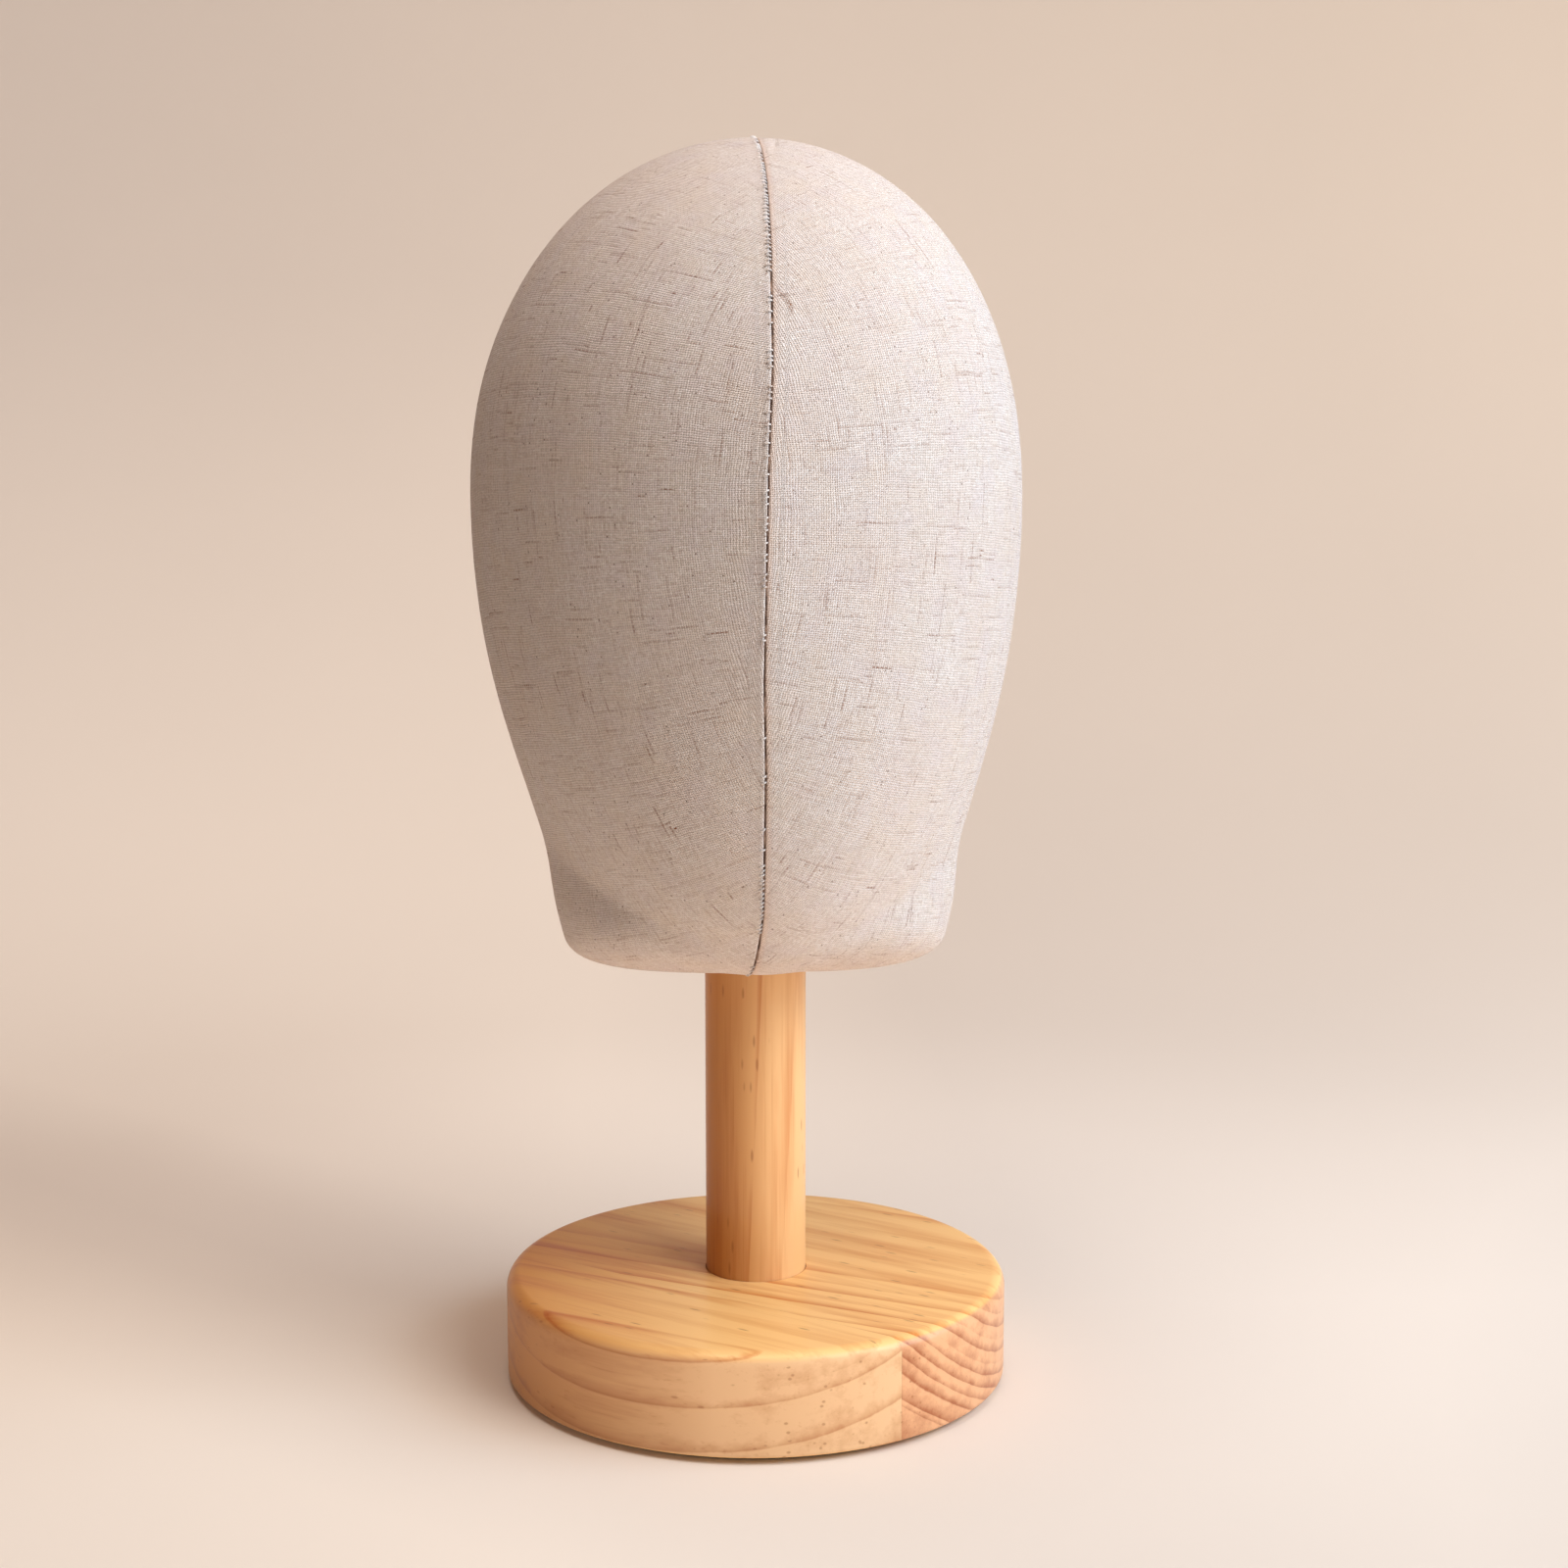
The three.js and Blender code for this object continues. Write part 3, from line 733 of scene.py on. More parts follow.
WANDER = 1.7  # millimetres that the weave strays from straight
WANDER_SIZE = 14
SLUB_CELL = 22  # at most one slub starts in this length of a thread
SLUB_CHANCE = 0.36
SLUB_SHORTNESS, SLUB_FAINTNESS = 1.6, 2.8  # powers that favour short slubs and faint ones
SLUB_HALF = (0.6, 0.04)  # half a slub's length in cells: what its roll adds, and the least
SLUB_STRENGTH = (0.82, 0.22)  # and its colour's share
FLECK_CHANCE = 0.005
THREAD_RUN = 6  # a thread keeps its thickness for about this length
WEAVE_RELIEF = 0.3
THREAD_APART, SYSTEM_APART = 7.3, 50  # set the noise of two threads, and of warp and weft, apart
THREAD_OVER = (0.35, 0.65)  # a thread's height: what going over another adds, and its mean
THREAD_THICK = (0.5, 0.7)  # its thickness: what the noise adds, and the least
TONE_LIMITS = (0.75, 1.65)  # of the noise, from the warm to the pale thread
GAP_SHADE = (0.55, 1.05, 0.66, 1)  # the weave's height, and how pale the painted shade in the gaps leaves it there
BUNCH_SIZE, BUNCHED = 26, (0.42, 0.58, 0.6, 1)  # slubs come closer together in bunches
SEAM_SHADE = (0.4, 1.9, 0.6, 0)  # millimetres from the seam, and how strong the painted shade of the warmer strip is there
# Size in millimetres, the noise between which it comes in, its strongest share, and its tint
CLOUDS = [(38, 0.42, 0.64, 0.3, "#e4d2c8"), (11, 0.45, 0.65, 0.22, "#e8d8c6")]
CLOUDS += [(8, 0.48, 0.68, 0.22, "#ded2d8")]


def linen_material(settings):
    """Slub linen, plain woven, washed and glued on tight."""
    # Reads as matte and slightly hairy: uneven threads over and under, brown slubs as broken dashes
    made, add = new_material("slub_linen_plain_weave")
    spacing = settings.thread_spacing / MM
    cloth = add("UVMap", uv_map="cloth")
    stray = add("TexNoise", cloth, Scale=1 / WANDER_SIZE, Detail=2)
    strayed = add("VectorMath.MULTIPLY_ADD", stray.outputs["Color"], (WANDER, WANDER, 0), cloth)
    weave = add("VectorMath.SCALE", strayed, Scale=1 / spacing)
    p, q = add("SeparateXYZ", weave).outputs[:2]
    sines = [add("Math.SINE", add("Math.MULTIPLY", counter, math.pi)) for counter in (p, q)]
    over = add("Math.MULTIPLY", *sines)

    lifts, tones, slubs = [], [], []
    for counter, run, sine, sign in ((p, q, sines[0], 1), (q, p, sines[1], -1)):
        thread = add("Math.FLOOR", counter)
        apart = add("Math.MULTIPLY_ADD", thread, THREAD_APART, SYSTEM_APART * sign)
        along = add("Math.MULTIPLY", run, spacing / THREAD_RUN)
        place = add("CombineXYZ", apart, along, 0)
        uneven = add("TexNoise", place, Scale=1, Detail=1, noise_dimensions="2D")
        tones.append(uneven)

        back = add("Math.ABSOLUTE", sine)
        rise = add("Math.MULTIPLY_ADD", over, THREAD_OVER[0] * sign, THREAD_OVER[1])
        thick = add("Math.MULTIPLY_ADD", uneven, *THREAD_THICK)
        lift = add("Math.MULTIPLY", back, rise)
        lifts.append(add("Math.MULTIPLY", lift, thick))

        # A slub is a dash somewhere in its cell: most are short and faint, and the weave breaks them up
        start = add("TexWhiteNoise", apart, noise_dimensions="1D")
        reach = add("Math.MULTIPLY_ADD", run, spacing / SLUB_CELL, start)
        spot = add("CombineXYZ", apart, add("Math.FLOOR", reach), 0)
        dice = add("TexWhiteNoise", spot, noise_dimensions="2D")
        where, how_long, how_strong = add("SeparateColor", dice.outputs["Color"]).outputs
        slub = add("Math.LESS_THAN", dice.outputs["Value"], SLUB_CHANCE)
        aside = add("Math.ABSOLUTE", add("Math.SUBTRACT", add("Math.FRACT", reach), where))
        long = add("Math.POWER", how_long, SLUB_SHORTNESS)
        left = add("Math.SUBTRACT", add("Math.MULTIPLY_ADD", long, *SLUB_HALF), aside)
        for factor in (
            add("Math.MULTIPLY", left, 40, use_clamp=True),
            add("Math.MULTIPLY_ADD", add("Math.POWER", how_strong, SLUB_FAINTNESS), *SLUB_STRENGTH),
            add("Math.MULTIPLY_ADD", long, -0.45, 1),
            add("MapRange", back, 0.35, 0.75, 0, 1),
            add("MapRange", rise, 0.4, 0.8, 0.45, 1),
            add("MapRange", uneven, 0.35, 0.6, 1, 0.45),
        ):
            slub = add("Math.MULTIPLY", slub, factor)
        slubs.append(slub)

    height = add("Math.MAXIMUM", *lifts)
    lead = add("Math.SUBTRACT", *lifts)
    warp_on_top = add("Math.MULTIPLY_ADD", lead, 9, 0.5, use_clamp=True)
    tone = add("Mix", warp_on_top, *reversed(tones))
    fuzz = add("TexNoise", cloth, Scale=1.1, Detail=4, Roughness=0.65)
    chance = add("TexWhiteNoise", add("VectorMath.FLOOR", weave), noise_dimensions="2D")
    odd = add("SeparateColor", chance.outputs["Color"])
    tone = add("Math.MULTIPLY_ADD", odd, 0.4, add("Math.ADD", tone, fuzz))
    tone = add("MapRange", tone, *TONE_LIMITS)
    base = add("Mix", tone, settings.warm, settings.pale, data_type="RGBA")
    height = add("Math.MULTIPLY_ADD", fuzz, 0.9, height)

    # Faint clouds of beige and lilac, and painted shade as a warmer strip along the right panel's folded
    # edge
    place = millimetres(add)
    for size, low, high, most, tint in CLOUDS:
        blotch = add("MapRange", add("TexNoise", place, Scale=1 / size, Detail=2), low, high, 0, most)
        base = add("Mix", blotch, base, tint, data_type="RGBA")
    on_right = add("Math.GREATER_THAN", add("SeparateXYZ", cloth), 0)
    distance = add("Attribute", attribute_name="from_seam").outputs["Fac"]
    seam_shade = add("Math.MULTIPLY", add("MapRange", distance, *SEAM_SHADE), on_right)

    # The gaps between threads hold painted shade, slubs come in bunches, and a few crossings are dark flecks
    gap = add("MapRange", height, *GAP_SHADE)
    bunches = add("MapRange", add("TexNoise", cloth, Scale=1 / BUNCH_SIZE, Detail=1), *BUNCHED)
    slub = add("Math.MULTIPLY", add("Math.MAXIMUM", *slubs), bunches)
    fleck = add("Math.LESS_THAN", chance.outputs["Value"], FLECK_CHANCE)
    middle = add("MapRange", add("Math.ABSOLUTE", over), 0.3, 0.7, 0, 0.75)
    fleck = add("Math.MULTIPLY", fleck, middle)
    # Painted shade: a warmer strip beside the seam, where the right panel dips into the groove
    base = add("Mix", seam_shade, base, "#e8cfc0", data_type="RGBA")
    base = add("Mix", 1, base, gap, data_type="RGBA", blend_type="MULTIPLY")
    base = add("Mix", slub, base, settings.slub, data_type="RGBA")
    base = add("Mix", fleck, base, "#6d5140", data_type="RGBA")

    rough = add("MapRange", height, 0.55, 1.35, 0.98, 0.86)
    height = add("Math.MULTIPLY_ADD", slub, 0.12, height)
    plain = {"Sheen Weight": 0.08, "Sheen Roughness": 0.5, "IOR": 1.45}
    surface(add, base, rough, height, WEAVE_RELIEF * MM, plain)
    return made


def thread_material(name, colour_value, patch_colour):
    """Twisted sewing thread, of another colour in patches."""
    # A slanting twist of two plies, matte, with painted shade a little darker in the furrow between them
    made, add = new_material(name)
    place = millimetres(add)
    plies = add("TexWave", place, Scale=0.9, Distortion=1.5, bands_direction="DIAGONAL")
    shade = add("MapRange", plies, 0, 1, 0.72, 1.0)
    patches = add("MapRange", add("TexNoise", place, Scale=0.22, Detail=2), 0.46, 0.62)
    base = add("Mix", patches, colour_value, patch_colour, data_type="RGBA")
    base = add("Mix", 1, base, shade, data_type="RGBA", blend_type="MULTIPLY")
    rough = add("MapRange", plies, 0, 1, 0.95, 0.8)
    surface(add, base, rough, plies, 0.04 * MM, {"Sheen Weight": 0.1})
    return made


# Pine materials

# Soft streaks in the pine: their length and width in millimetres, and how much darker and paler they go
STREAKS = ((45, 0.55, 0.06), (34, 2.2, 0.13), (110, 8, 0.32))
THIN_STREAK, THIN_LIMITS = (70, 0.9), (0.6, 0.7, 0, 0.2)
RESIN_CELL = (7, 1.5, 1.5)  # along the grain and across it
RESIN_SHARE = 0.07
RESIN_DASH = (0.16, 0.34, 0.5, 0)  # distance from its middle in cells, and how strong it is there
RING_RETURN = 0.3
UNEVEN_RINGS = (60, 12)  # length and width of their unevenness
# Tint of the painted shade on the stand's left, the side turned from the key light
LEFT_SHADE_TINT = "#ccaa78"
RESIN = "#9a5c30"
# Where that painted shade begins and is deepest along X, in millimetres, on the base and the post
BASE_LEFT_SHADE = (-15, -70)
POST_LEFT_SHADE = (5, -12)


def grain_noise(add, space, along, across):
    """Noise in the grain's own space, with features of these lengths and widths."""
    stretched = add("VectorMath.MULTIPLY", space, (1 / along, 1 / across, 1 / across))
    return add("TexNoise", stretched, Scale=1, Detail=3)


def pine_surface(add, space, rings, tints, left_shade, coat=0.25):
    """Finish a material as varnished pine from its grain space and its rings, 0 pale to 1 dark.

    Tints are (share, pale colour, dark colour), each laid over the ones before. Painted shade runs between
    two places along X, in millimetres, and darkens the wood from the first to the second."""
    dark = rings
    for along, across, depth in STREAKS:
        streak = add("MapRange", grain_noise(add, space, along, across), 0.3, 0.7, -depth, depth)
        dark = add("Math.ADD", dark, streak)
    thin = add("MapRange", grain_noise(add, space, *THIN_STREAK), *THIN_LIMITS)
    dark = add("Math.ADD", dark, thin, use_clamp=True)
    base = None
    for share, early, late in tints:
        tinted = add("Mix", dark, early, late, data_type="RGBA")
        base = add("Mix", share, base, tinted, data_type="RGBA") if base else tinted
    # Painted shade: the wood darkens towards its left, away from the key light
    shaded_left = add("MapRange", add("SeparateXYZ", millimetres(add)), *left_shade)
    base = add("Mix", shaded_left, base, LEFT_SHADE_TINT, data_type="RGBA", blend_type="MULTIPLY")

    # Resin canals show as short brown dashes
    cells = add("VectorMath.MULTIPLY", space, [1 / c for c in RESIN_CELL])
    canal = add("TexVoronoi", cells, Scale=1, Randomness=1)
    often = add("Math.MULTIPLY_ADD", rings, 2.5 * RESIN_SHARE, RESIN_SHARE)
    picked = add("Math.LESS_THAN", add("SeparateColor", canal.outputs["Color"]), often)
    dash = add("MapRange", canal.outputs["Distance"], *RESIN_DASH)
    dash = add("Math.MULTIPLY", dash, picked)
    base = add("Mix", dash, base, RESIN, data_type="RGBA")

    rough = add("MapRange", dark, 0, 1, 0.5, 0.4)
    height = add("Math.SUBTRACT", rings, dash)
    varnish = {"Specular IOR Level": 0.3, "Coat Weight": coat, "Coat Roughness": 0.12, "Coat IOR": 1.5}
    surface(add, base, rough, height, 0.03 * MM, varnish)


def ring_value(add, distance, limits, power):
    """Growth rings from the distance to the pith: paler to darker outward, then a sharp return.

    Limits are each ring's outer radius and how dark it gets there."""
    first, last = limits[0][0] - 15, limits[-1][0] + 1
    stops = [(0, 0)]
    for radius, level in limits:
        ends = ((radius, level), (radius + RING_RETURN, 0))
        stops += [((place - first) / (last - first), dark) for place, dark in ends]
    saw = add("ValToRGB", add("MapRange", distance, first, last), stops=stops)
    return add("Math.POWER", saw, power)


def pith_distance(add, space, pith, lean, waves=0.7):
    """Distance from the pith's line, across the grain, with a little unevenness."""
    bumps = grain_noise(add, space, *UNEVEN_RINGS)
    x, y, z = add("SeparateXYZ", space).outputs
    flat = add("CombineXYZ", 0, add("Math.MULTIPLY_ADD", x, -lean, y), z)
    away = add("VectorMath.DISTANCE", flat, (0, *pith))
    return add("Math.MULTIPLY_ADD", bumps, 2 * waves, away)


def facing(add, axis, low, high):
    """How far a surface of the boards faces along an axis of the grain, between two limits."""
    normal = add("TexCoord").outputs["Normal"]
    normal = add("VectorRotate", normal, Angle=math.radians(-GRAIN_ANGLE), rotation_type="Z_AXIS")
    along = add("Math.ABSOLUTE", add("SeparateXYZ", normal).outputs[axis])
    return add("MapRange", along, low, high)


# Where the pith of each piece's tree lay, across the grain and up, and each growth ring's radius and depth
FRONT_PITH = (-112, 183)
FRONT_RINGS = [(145, 0.5), (157.7, 0.3), (159.5, 1), (168, 0.5), (172.3, 0.9), (178, 0.4)]
FRONT_RINGS += [(184.6, 0.9), (196, 0.7)]
REAR_PITH = (34.2, 100)
REAR_RINGS = [(70, 0.5), (75.5, 0.7), (79.5, 0.6), (83.3, 0.9), (87, 0.5), (90.5, 0.9), (94, 0.5)]
REAR_RINGS += [(97.3, 0.9), (101, 0.95), (104.5, 0.85), (108.2, 1), (113.4, 0.9), (115, 0.7), (122.9, 0.8)]
POST_PITH = (-62.7, 0)
POST_RINGS = [(48, 0.35), (51.8, 0.25), (56.5, 0.35), (60.7, 0.7), (65.2, 0.25), (70.2, 0.5)]
POST_RINGS += [(75, 0.2), (80, 0.3)]


def front_board_material(settings):
    """Pine, flat sawn and edge glued, turned and varnished."""
    # The turned side cuts the rings at a slant, so they run round it as wide smiling lines
    made, add = new_material("varnished_pine_front_board")
    space = millimetres(add, GRAIN_ANGLE)
    rings = ring_value(add, pith_distance(add, space, FRONT_PITH, 0.12), FRONT_RINGS, 2.6)
    side = facing(add, "Z", 0.75, 0.35)
    tints = ((1, settings.early, settings.late), (side, settings.side_early, settings.side_late))
    pine_surface(add, space, rings, tints, BASE_LEFT_SHADE)
    return made


def rear_board_material(settings):
    """Pine, edge glued with its end grain showing at the right, turned and varnished."""
    # Bands along the top, and close pinkish rings where the turned side cuts the fibres across
    made, add = new_material("varnished_pine_rear_board")
    space = millimetres(add, GRAIN_ANGLE)
    rings = ring_value(add, pith_distance(add, space, REAR_PITH, 0.15), REAR_RINGS, 1.8)
    tints = (
        (1, settings.early, settings.late),
        (facing(add, "Z", 0.75, 0.35), settings.side_early, settings.side_late),
        (facing(add, "X", 0.6, 0.8), settings.end_early, settings.end_late),
    )
    pine_surface(add, space, rings, tints, BASE_LEFT_SHADE)
    return made


def post_material(settings):
    """Pine dowel, turned and varnished."""
    # Slender orange streaks that climb a little aslant, with a warm gloss
    made, add = new_material("varnished_pine_post")
    x, y, z = add("SeparateXYZ", millimetres(add)).outputs
    upright = add("CombineXYZ", z, x, y)
    rings = ring_value(add, pith_distance(add, upright, POST_PITH, 0.045, 0.5), POST_RINGS, 2.2)
    pine_surface(add, upright, rings, ((1, settings.post_early, settings.post_late),), POST_LEFT_SHADE, 0.3)
    return made


# Materials of the inner parts

PLY = 1.5


def felt_material():
    """Wool felt, pressed, dark brown."""
    # Short matted hairs: no gloss at all, a soft mottled dark
    made, add = new_material("pressed_wool_felt")
    place = millimetres(add)
    hairs = add("TexNoise", place, Scale=2.4, Detail=5, Distortion=1.2)
    base = add("Mix", hairs, "#2b211b", "#574638", data_type="RGBA")
    rough = add("MapRange", hairs, 0, 1, 1, 0.9)
    surface(add, base, rough, hairs, 0.25 * MM, {"Sheen Weight": 0.3})
    return made


def plywood_material():
    """Birch plywood, sawn."""
    # Thin plies show as darker lines on the edges, and the faces have a pale, fine, open grain
    made, add = new_material("birch_plywood")
    fibres = add("TexNoise", millimetres(add, 0, (1 / 30, 1 / 1.2, 1)), Scale=1, Detail=4)
    height = add("SeparateXYZ", millimetres(add)).outputs["Z"]
    glue = add("MapRange", add("Math.FRACT", add("Math.MULTIPLY", height, 1 / PLY)), 0.86, 0.93, 0, 0.5)
    base = add("Mix", fibres, "#e3c49a", "#cba777", data_type="RGBA")
    base = add("Mix", glue, base, "#7c5535", data_type="RGBA")
    rough = add("MapRange", fibres, 0, 1, 0.75, 0.6)
    surface(add, base, rough, fibres, 0.05 * MM)
    return made


def laminate_material():
    """Glass-fibre laminate, moulded, its inside left rough."""
    # Cloudy resin with chopped strands criss-crossing in it, slightly glossy
    made, add = new_material("glass_fibre_laminate")
    place = millimetres(add)
    strands = add("TexVoronoi", place, Scale=0.22, feature="DISTANCE_TO_EDGE")
    cloud = add("TexNoise", place, Scale=0.09, Detail=4, Distortion=2)
    lines = add("MapRange", strands, 0, 0.06, 0.5, 0)
    base = add("Mix", cloud, "#ddd0b4", "#c3b08a", data_type="RGBA")
    base = add("Mix", lines, base, "#efe7d3", data_type="RGBA")
    rough = add("MapRange", cloud, 0, 1, 0.35, 0.55)
    surface(add, base, rough, lines, 0.15 * MM)
    return made


def plastic_material(name, light, dark, gloss, lines):
    """Plastic, extruded or turned, with fine tool lines along Z at a spacing in millimetres."""
    # Even colour, satin, with faint parallel marks from the die or the lathe
    made, add = new_material(name)
    place = millimetres(add)
    marks = add("TexWave", place, Scale=0.3 / lines, Distortion=0.4, bands_direction="Z")
    speck = add("TexNoise", place, Scale=0.8, Detail=3)
    base = add("Mix", speck, light, dark, data_type="RGBA")
    rough = add("MapRange", speck, 0, 1, gloss, gloss + 0.12)
    surface(add, base, rough, marks, 0.02 * MM)
    return made


def steel_material():
    """Steel, zinc plated, stamped and rolled."""
    # Bright bluish grey with the faint spangle of the plating and small handling scratches
    made, add = new_material("zinc_plated_steel")
    place = millimetres(add)
    spangle = add("TexVoronoi", place, Scale=0.9)
    scratch = add("TexNoise", place, Scale=6, Detail=4, Distortion=3)
    tint = add("SeparateColor", spangle.outputs["Color"])
    base = add("Mix", tint, "#c9ccd0", "#b4b7b9", data_type="RGBA")
    rough = add("MapRange", scratch, 0.3, 0.7, 0.24, 0.42)
    surface(add, base, rough, scratch, 0.01 * MM, {"Metallic": 1})
    return made


# Stand pieces

BASE_SIDES = 288
POST_SIDES = 144
JOINT_GAP = 0.06
SEAT_GAP = 0.16  # round the foot of the post
SEAT_EDGE = 0.15
POST_ROUNDING = 0.8
FELT_ROUNDING = 0.5
FELT_RIM = 2
FELT_RAGGED, RAGGED_RIM, RAGGED_SIZE = 0.12, 1.5, 1.7
CRISP, POST_CRISP, SEAT_CRISP = 0.4, 0.3, (0.6, 0.7)  # from a rounded edge to the points that keep it so
HOLE_CHAMFER = 0.3
SCREW_POINT = 1


def box_mm(name):
    """A CAD node's lowest and highest corners, in millimetres."""
    return [np.array(corner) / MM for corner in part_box(name)]


def base_profile():
    """Outline of the turned base, with the post's seat above and the screw's counterbore below."""
    low, high = box_mm("base_board_rear")
    bottom, top, radius = low[2], high[2], max(abs(high[:2]))
    post_low, post_high = box_mm("post")
    seat = post_high[0] + SEAT_GAP
    floor = post_low[2] - FIT
    bore = SCREW_RADIUS + FIT
    washer = WASHER_RADIUS + FIT
    crown, foot = BOARD_TOP_ROUNDING, BOARD_FOOT_ROUNDING
    outline = [(washer, bottom), (radius - foot - CRISP, bottom)]
    outline += arc((radius - foot, bottom + foot), foot, -90, 0, 5)
    outline += [(radius, bottom + foot + CRISP), (radius, top - crown - CRISP)]
    outline += arc((radius - crown, top - crown), crown, 0, 90, 14)
    outline += [(radius - crown - CRISP, top), (seat + SEAT_CRISP[0], top)]
    outline += arc((seat + SEAT_EDGE, top - SEAT_EDGE), SEAT_EDGE, 90, 180, 3)
    outline += [(seat, top - SEAT_CRISP[1]), (seat, floor), (bore, floor), (bore, bottom + COUNTERBORE)]
    outline += [(washer, bottom + COUNTERBORE)]
    return outline


def base_board(name, side, finish):
    """One of the base's two boards: the turned disc, parted along the glue line."""
    made = spun(base_profile(), BASE_SIDES)
    across = Matrix.Rotation(math.radians(GRAIN_ANGLE), 3, "Z") @ Vector((0, 1, 0))
    where = across * (GLUE_LINE + side * JOINT_GAP / 2) * MM
    plane = {"plane_co": where, "plane_no": across, "clear_inner": side > 0, "clear_outer": side < 0}
    parts = made.verts[:] + made.edges[:] + made.faces[:]
    cut = bmesh.ops.bisect_plane(made, geom=parts, dist=1e-7, **plane)["geom_cut"]
    bmesh.ops.edgeloop_fill(made, edges=[part for part in cut if isinstance(part, bmesh.types.BMEdge)])
    bmesh.ops.recalc_face_normals(made, faces=made.faces)
    return from_bmesh(made, name, finish)


def felt_disc(finish):
    """The felt under the base, its cut edge a little ragged."""
    low, high = box_mm("base_felt")
    radius, round_off = high[0], FELT_ROUNDING
    outline = [(0, low[2]), (radius / 2, low[2]), (radius - FELT_RIM, low[2])]
    outline += arc((radius - round_off, low[2] + round_off), round_off, -90, 0, 4)
    outline += arc((radius - round_off, high[2] - round_off), round_off, 0, 90, 4)
    outline += [(radius - FELT_RIM, high[2]), (radius / 2, high[2]), (0, high[2])]
    made = spun(outline, BASE_SIDES)
    for vert in made.verts:
        flat = vert.co.xy
        if flat.length > (radius - RAGGED_RIM) * MM:
            ragged = FELT_RAGGED * (noise.noise(vert.co / MM / RAGGED_SIZE) - 1) * MM
            vert.co.xy = flat * (1 + ragged / flat.length)
    return from_bmesh(made, "felt_pad", finish)


def turned_post(finish):
    """The post, with eased ends and the holes for its screw and the disc's pin."""
    low, high = box_mm("post")
    radius, bottom, top, ease = high[0], low[2], high[2], POST_ROUNDING
    bore, bore_end = SCREW_RADIUS + FIT, box_mm("post_screw")[1][2] + FIT
    hole, hole_end = PIN_RADIUS + PIN_PLAY, box_mm("turning_disc")[0][2] - PIN_PLAY
    outline = [(bore, bottom), (radius - ease - POST_CRISP, bottom)]
    outline += arc((radius - ease, bottom + ease), ease, -90, 0, 6)
    heights = np.linspace(bottom + ease + POST_CRISP, top - ease - POST_CRISP, 24)
    outline += [(radius, height) for height in heights]
    outline += arc((radius - ease, top - ease), ease, 0, 90, 6)
    outline += [(hole + HOLE_CHAMFER, top), (hole, top - HOLE_CHAMFER), (hole, hole_end), (0, hole_end)]
    outline += [(0, bore_end), (bore, bore_end - SCREW_POINT)]
    return from_bmesh(spun(outline, POST_SIDES), "pine_post", finish)


# Stage

FLOOR_RADIUS = 450
SWEEP_RADIUS = 900
WALL_HEIGHT = 1250
STAGE_SIDES = 160
LOOK_AT_HEIGHT = 0.18
CAMERA_PLACE = (-0.0347, -0.7493, 0.2883)
CAMERA_TURN = -3.302  # degrees about Z, from looking along +Y
CAMERA_PITCH = -8.284
LENS = 59.09
# Each light's side is in degrees to the right of the front, and its rise in degrees up
KEY_LIGHT = {"side": 46, "rise": 38.5, "distance": 1.4, "size": 0.9}
SIDE_LIGHT = {"side": 75, "rise": 23, "distance": 0.9, "size": 0.65}
TOP_LIGHT = {"side": 0, "rise": 80, "distance": 1.3, "size": 0.9}
SEEN_STRENGTH = 0.75  # of the light from all around, where it is seen itself
# Millimetres over which the paper changes, and from what to what where that isn't from 0 to 1
# Painted shade: the paper is darker towards the right and the front
PAPER_RIGHT, PAPER_FRONT = (0, 450, 1, 0.9), (50, -160, 1, 0.86)  # darker there
SHADE_HEIGHTS = (30, 380)  # up the sweep, from floor to dim wall
FLAGGED = (0, -300, 0, 0.42)  # the floor at the left throws less light
# The floor glows near the post, though it is no lamp, to throw light up on the stand and the head
NEAR_FLOOR = (120, 420, 1.6, 0)  # away from the post, as the floor's bounce fades
UNDER_BASE = (80, 160, 0.1, 1)  # away from the post, as the bounce comes in round the base
# Painted light where the paper is seen: brighter to the right, away from the post, beside the head's shadow
LIFT_ACROSS = (-600, 600, 0.12, 1.35)  # from left to right, as the backdrop is seen brighter
LIFT_AWAY = (120, 1200)  # away from the post, as that comes in
LIFT_BESIDE = (20, 140, 0.14, 0.66)  # away from the band of the head's shadow, as the floor is seen brighter
LIFT_LEFT = (100, -60)  # from right to left, as that comes in
SHADOW_BAND = (0.91, 54)  # the band's middle line is where Y is -0.91 of X, less 54
# Painted shade dims the side light's pool on the paper where it is seen
LIGHT_FOOT = (860, -230, 130)  # where the side light comes nearest to the paper
LIGHT_NEAR = (100, 700, 0.35, 1)  # away from there, as the paper is seen less dimmed


def seen_share(add):
    """1 where a surface is seen, also in a gloss or through glass, and 0 where it only throws light."""
    rays = add("LightPath")
    seen = rays.outputs["Is Camera Ray"]
    for kind in ("Is Glossy Ray", "Is Transmission Ray"):
        seen = add("Math.MAXIMUM", seen, rays.outputs[kind])
    return seen


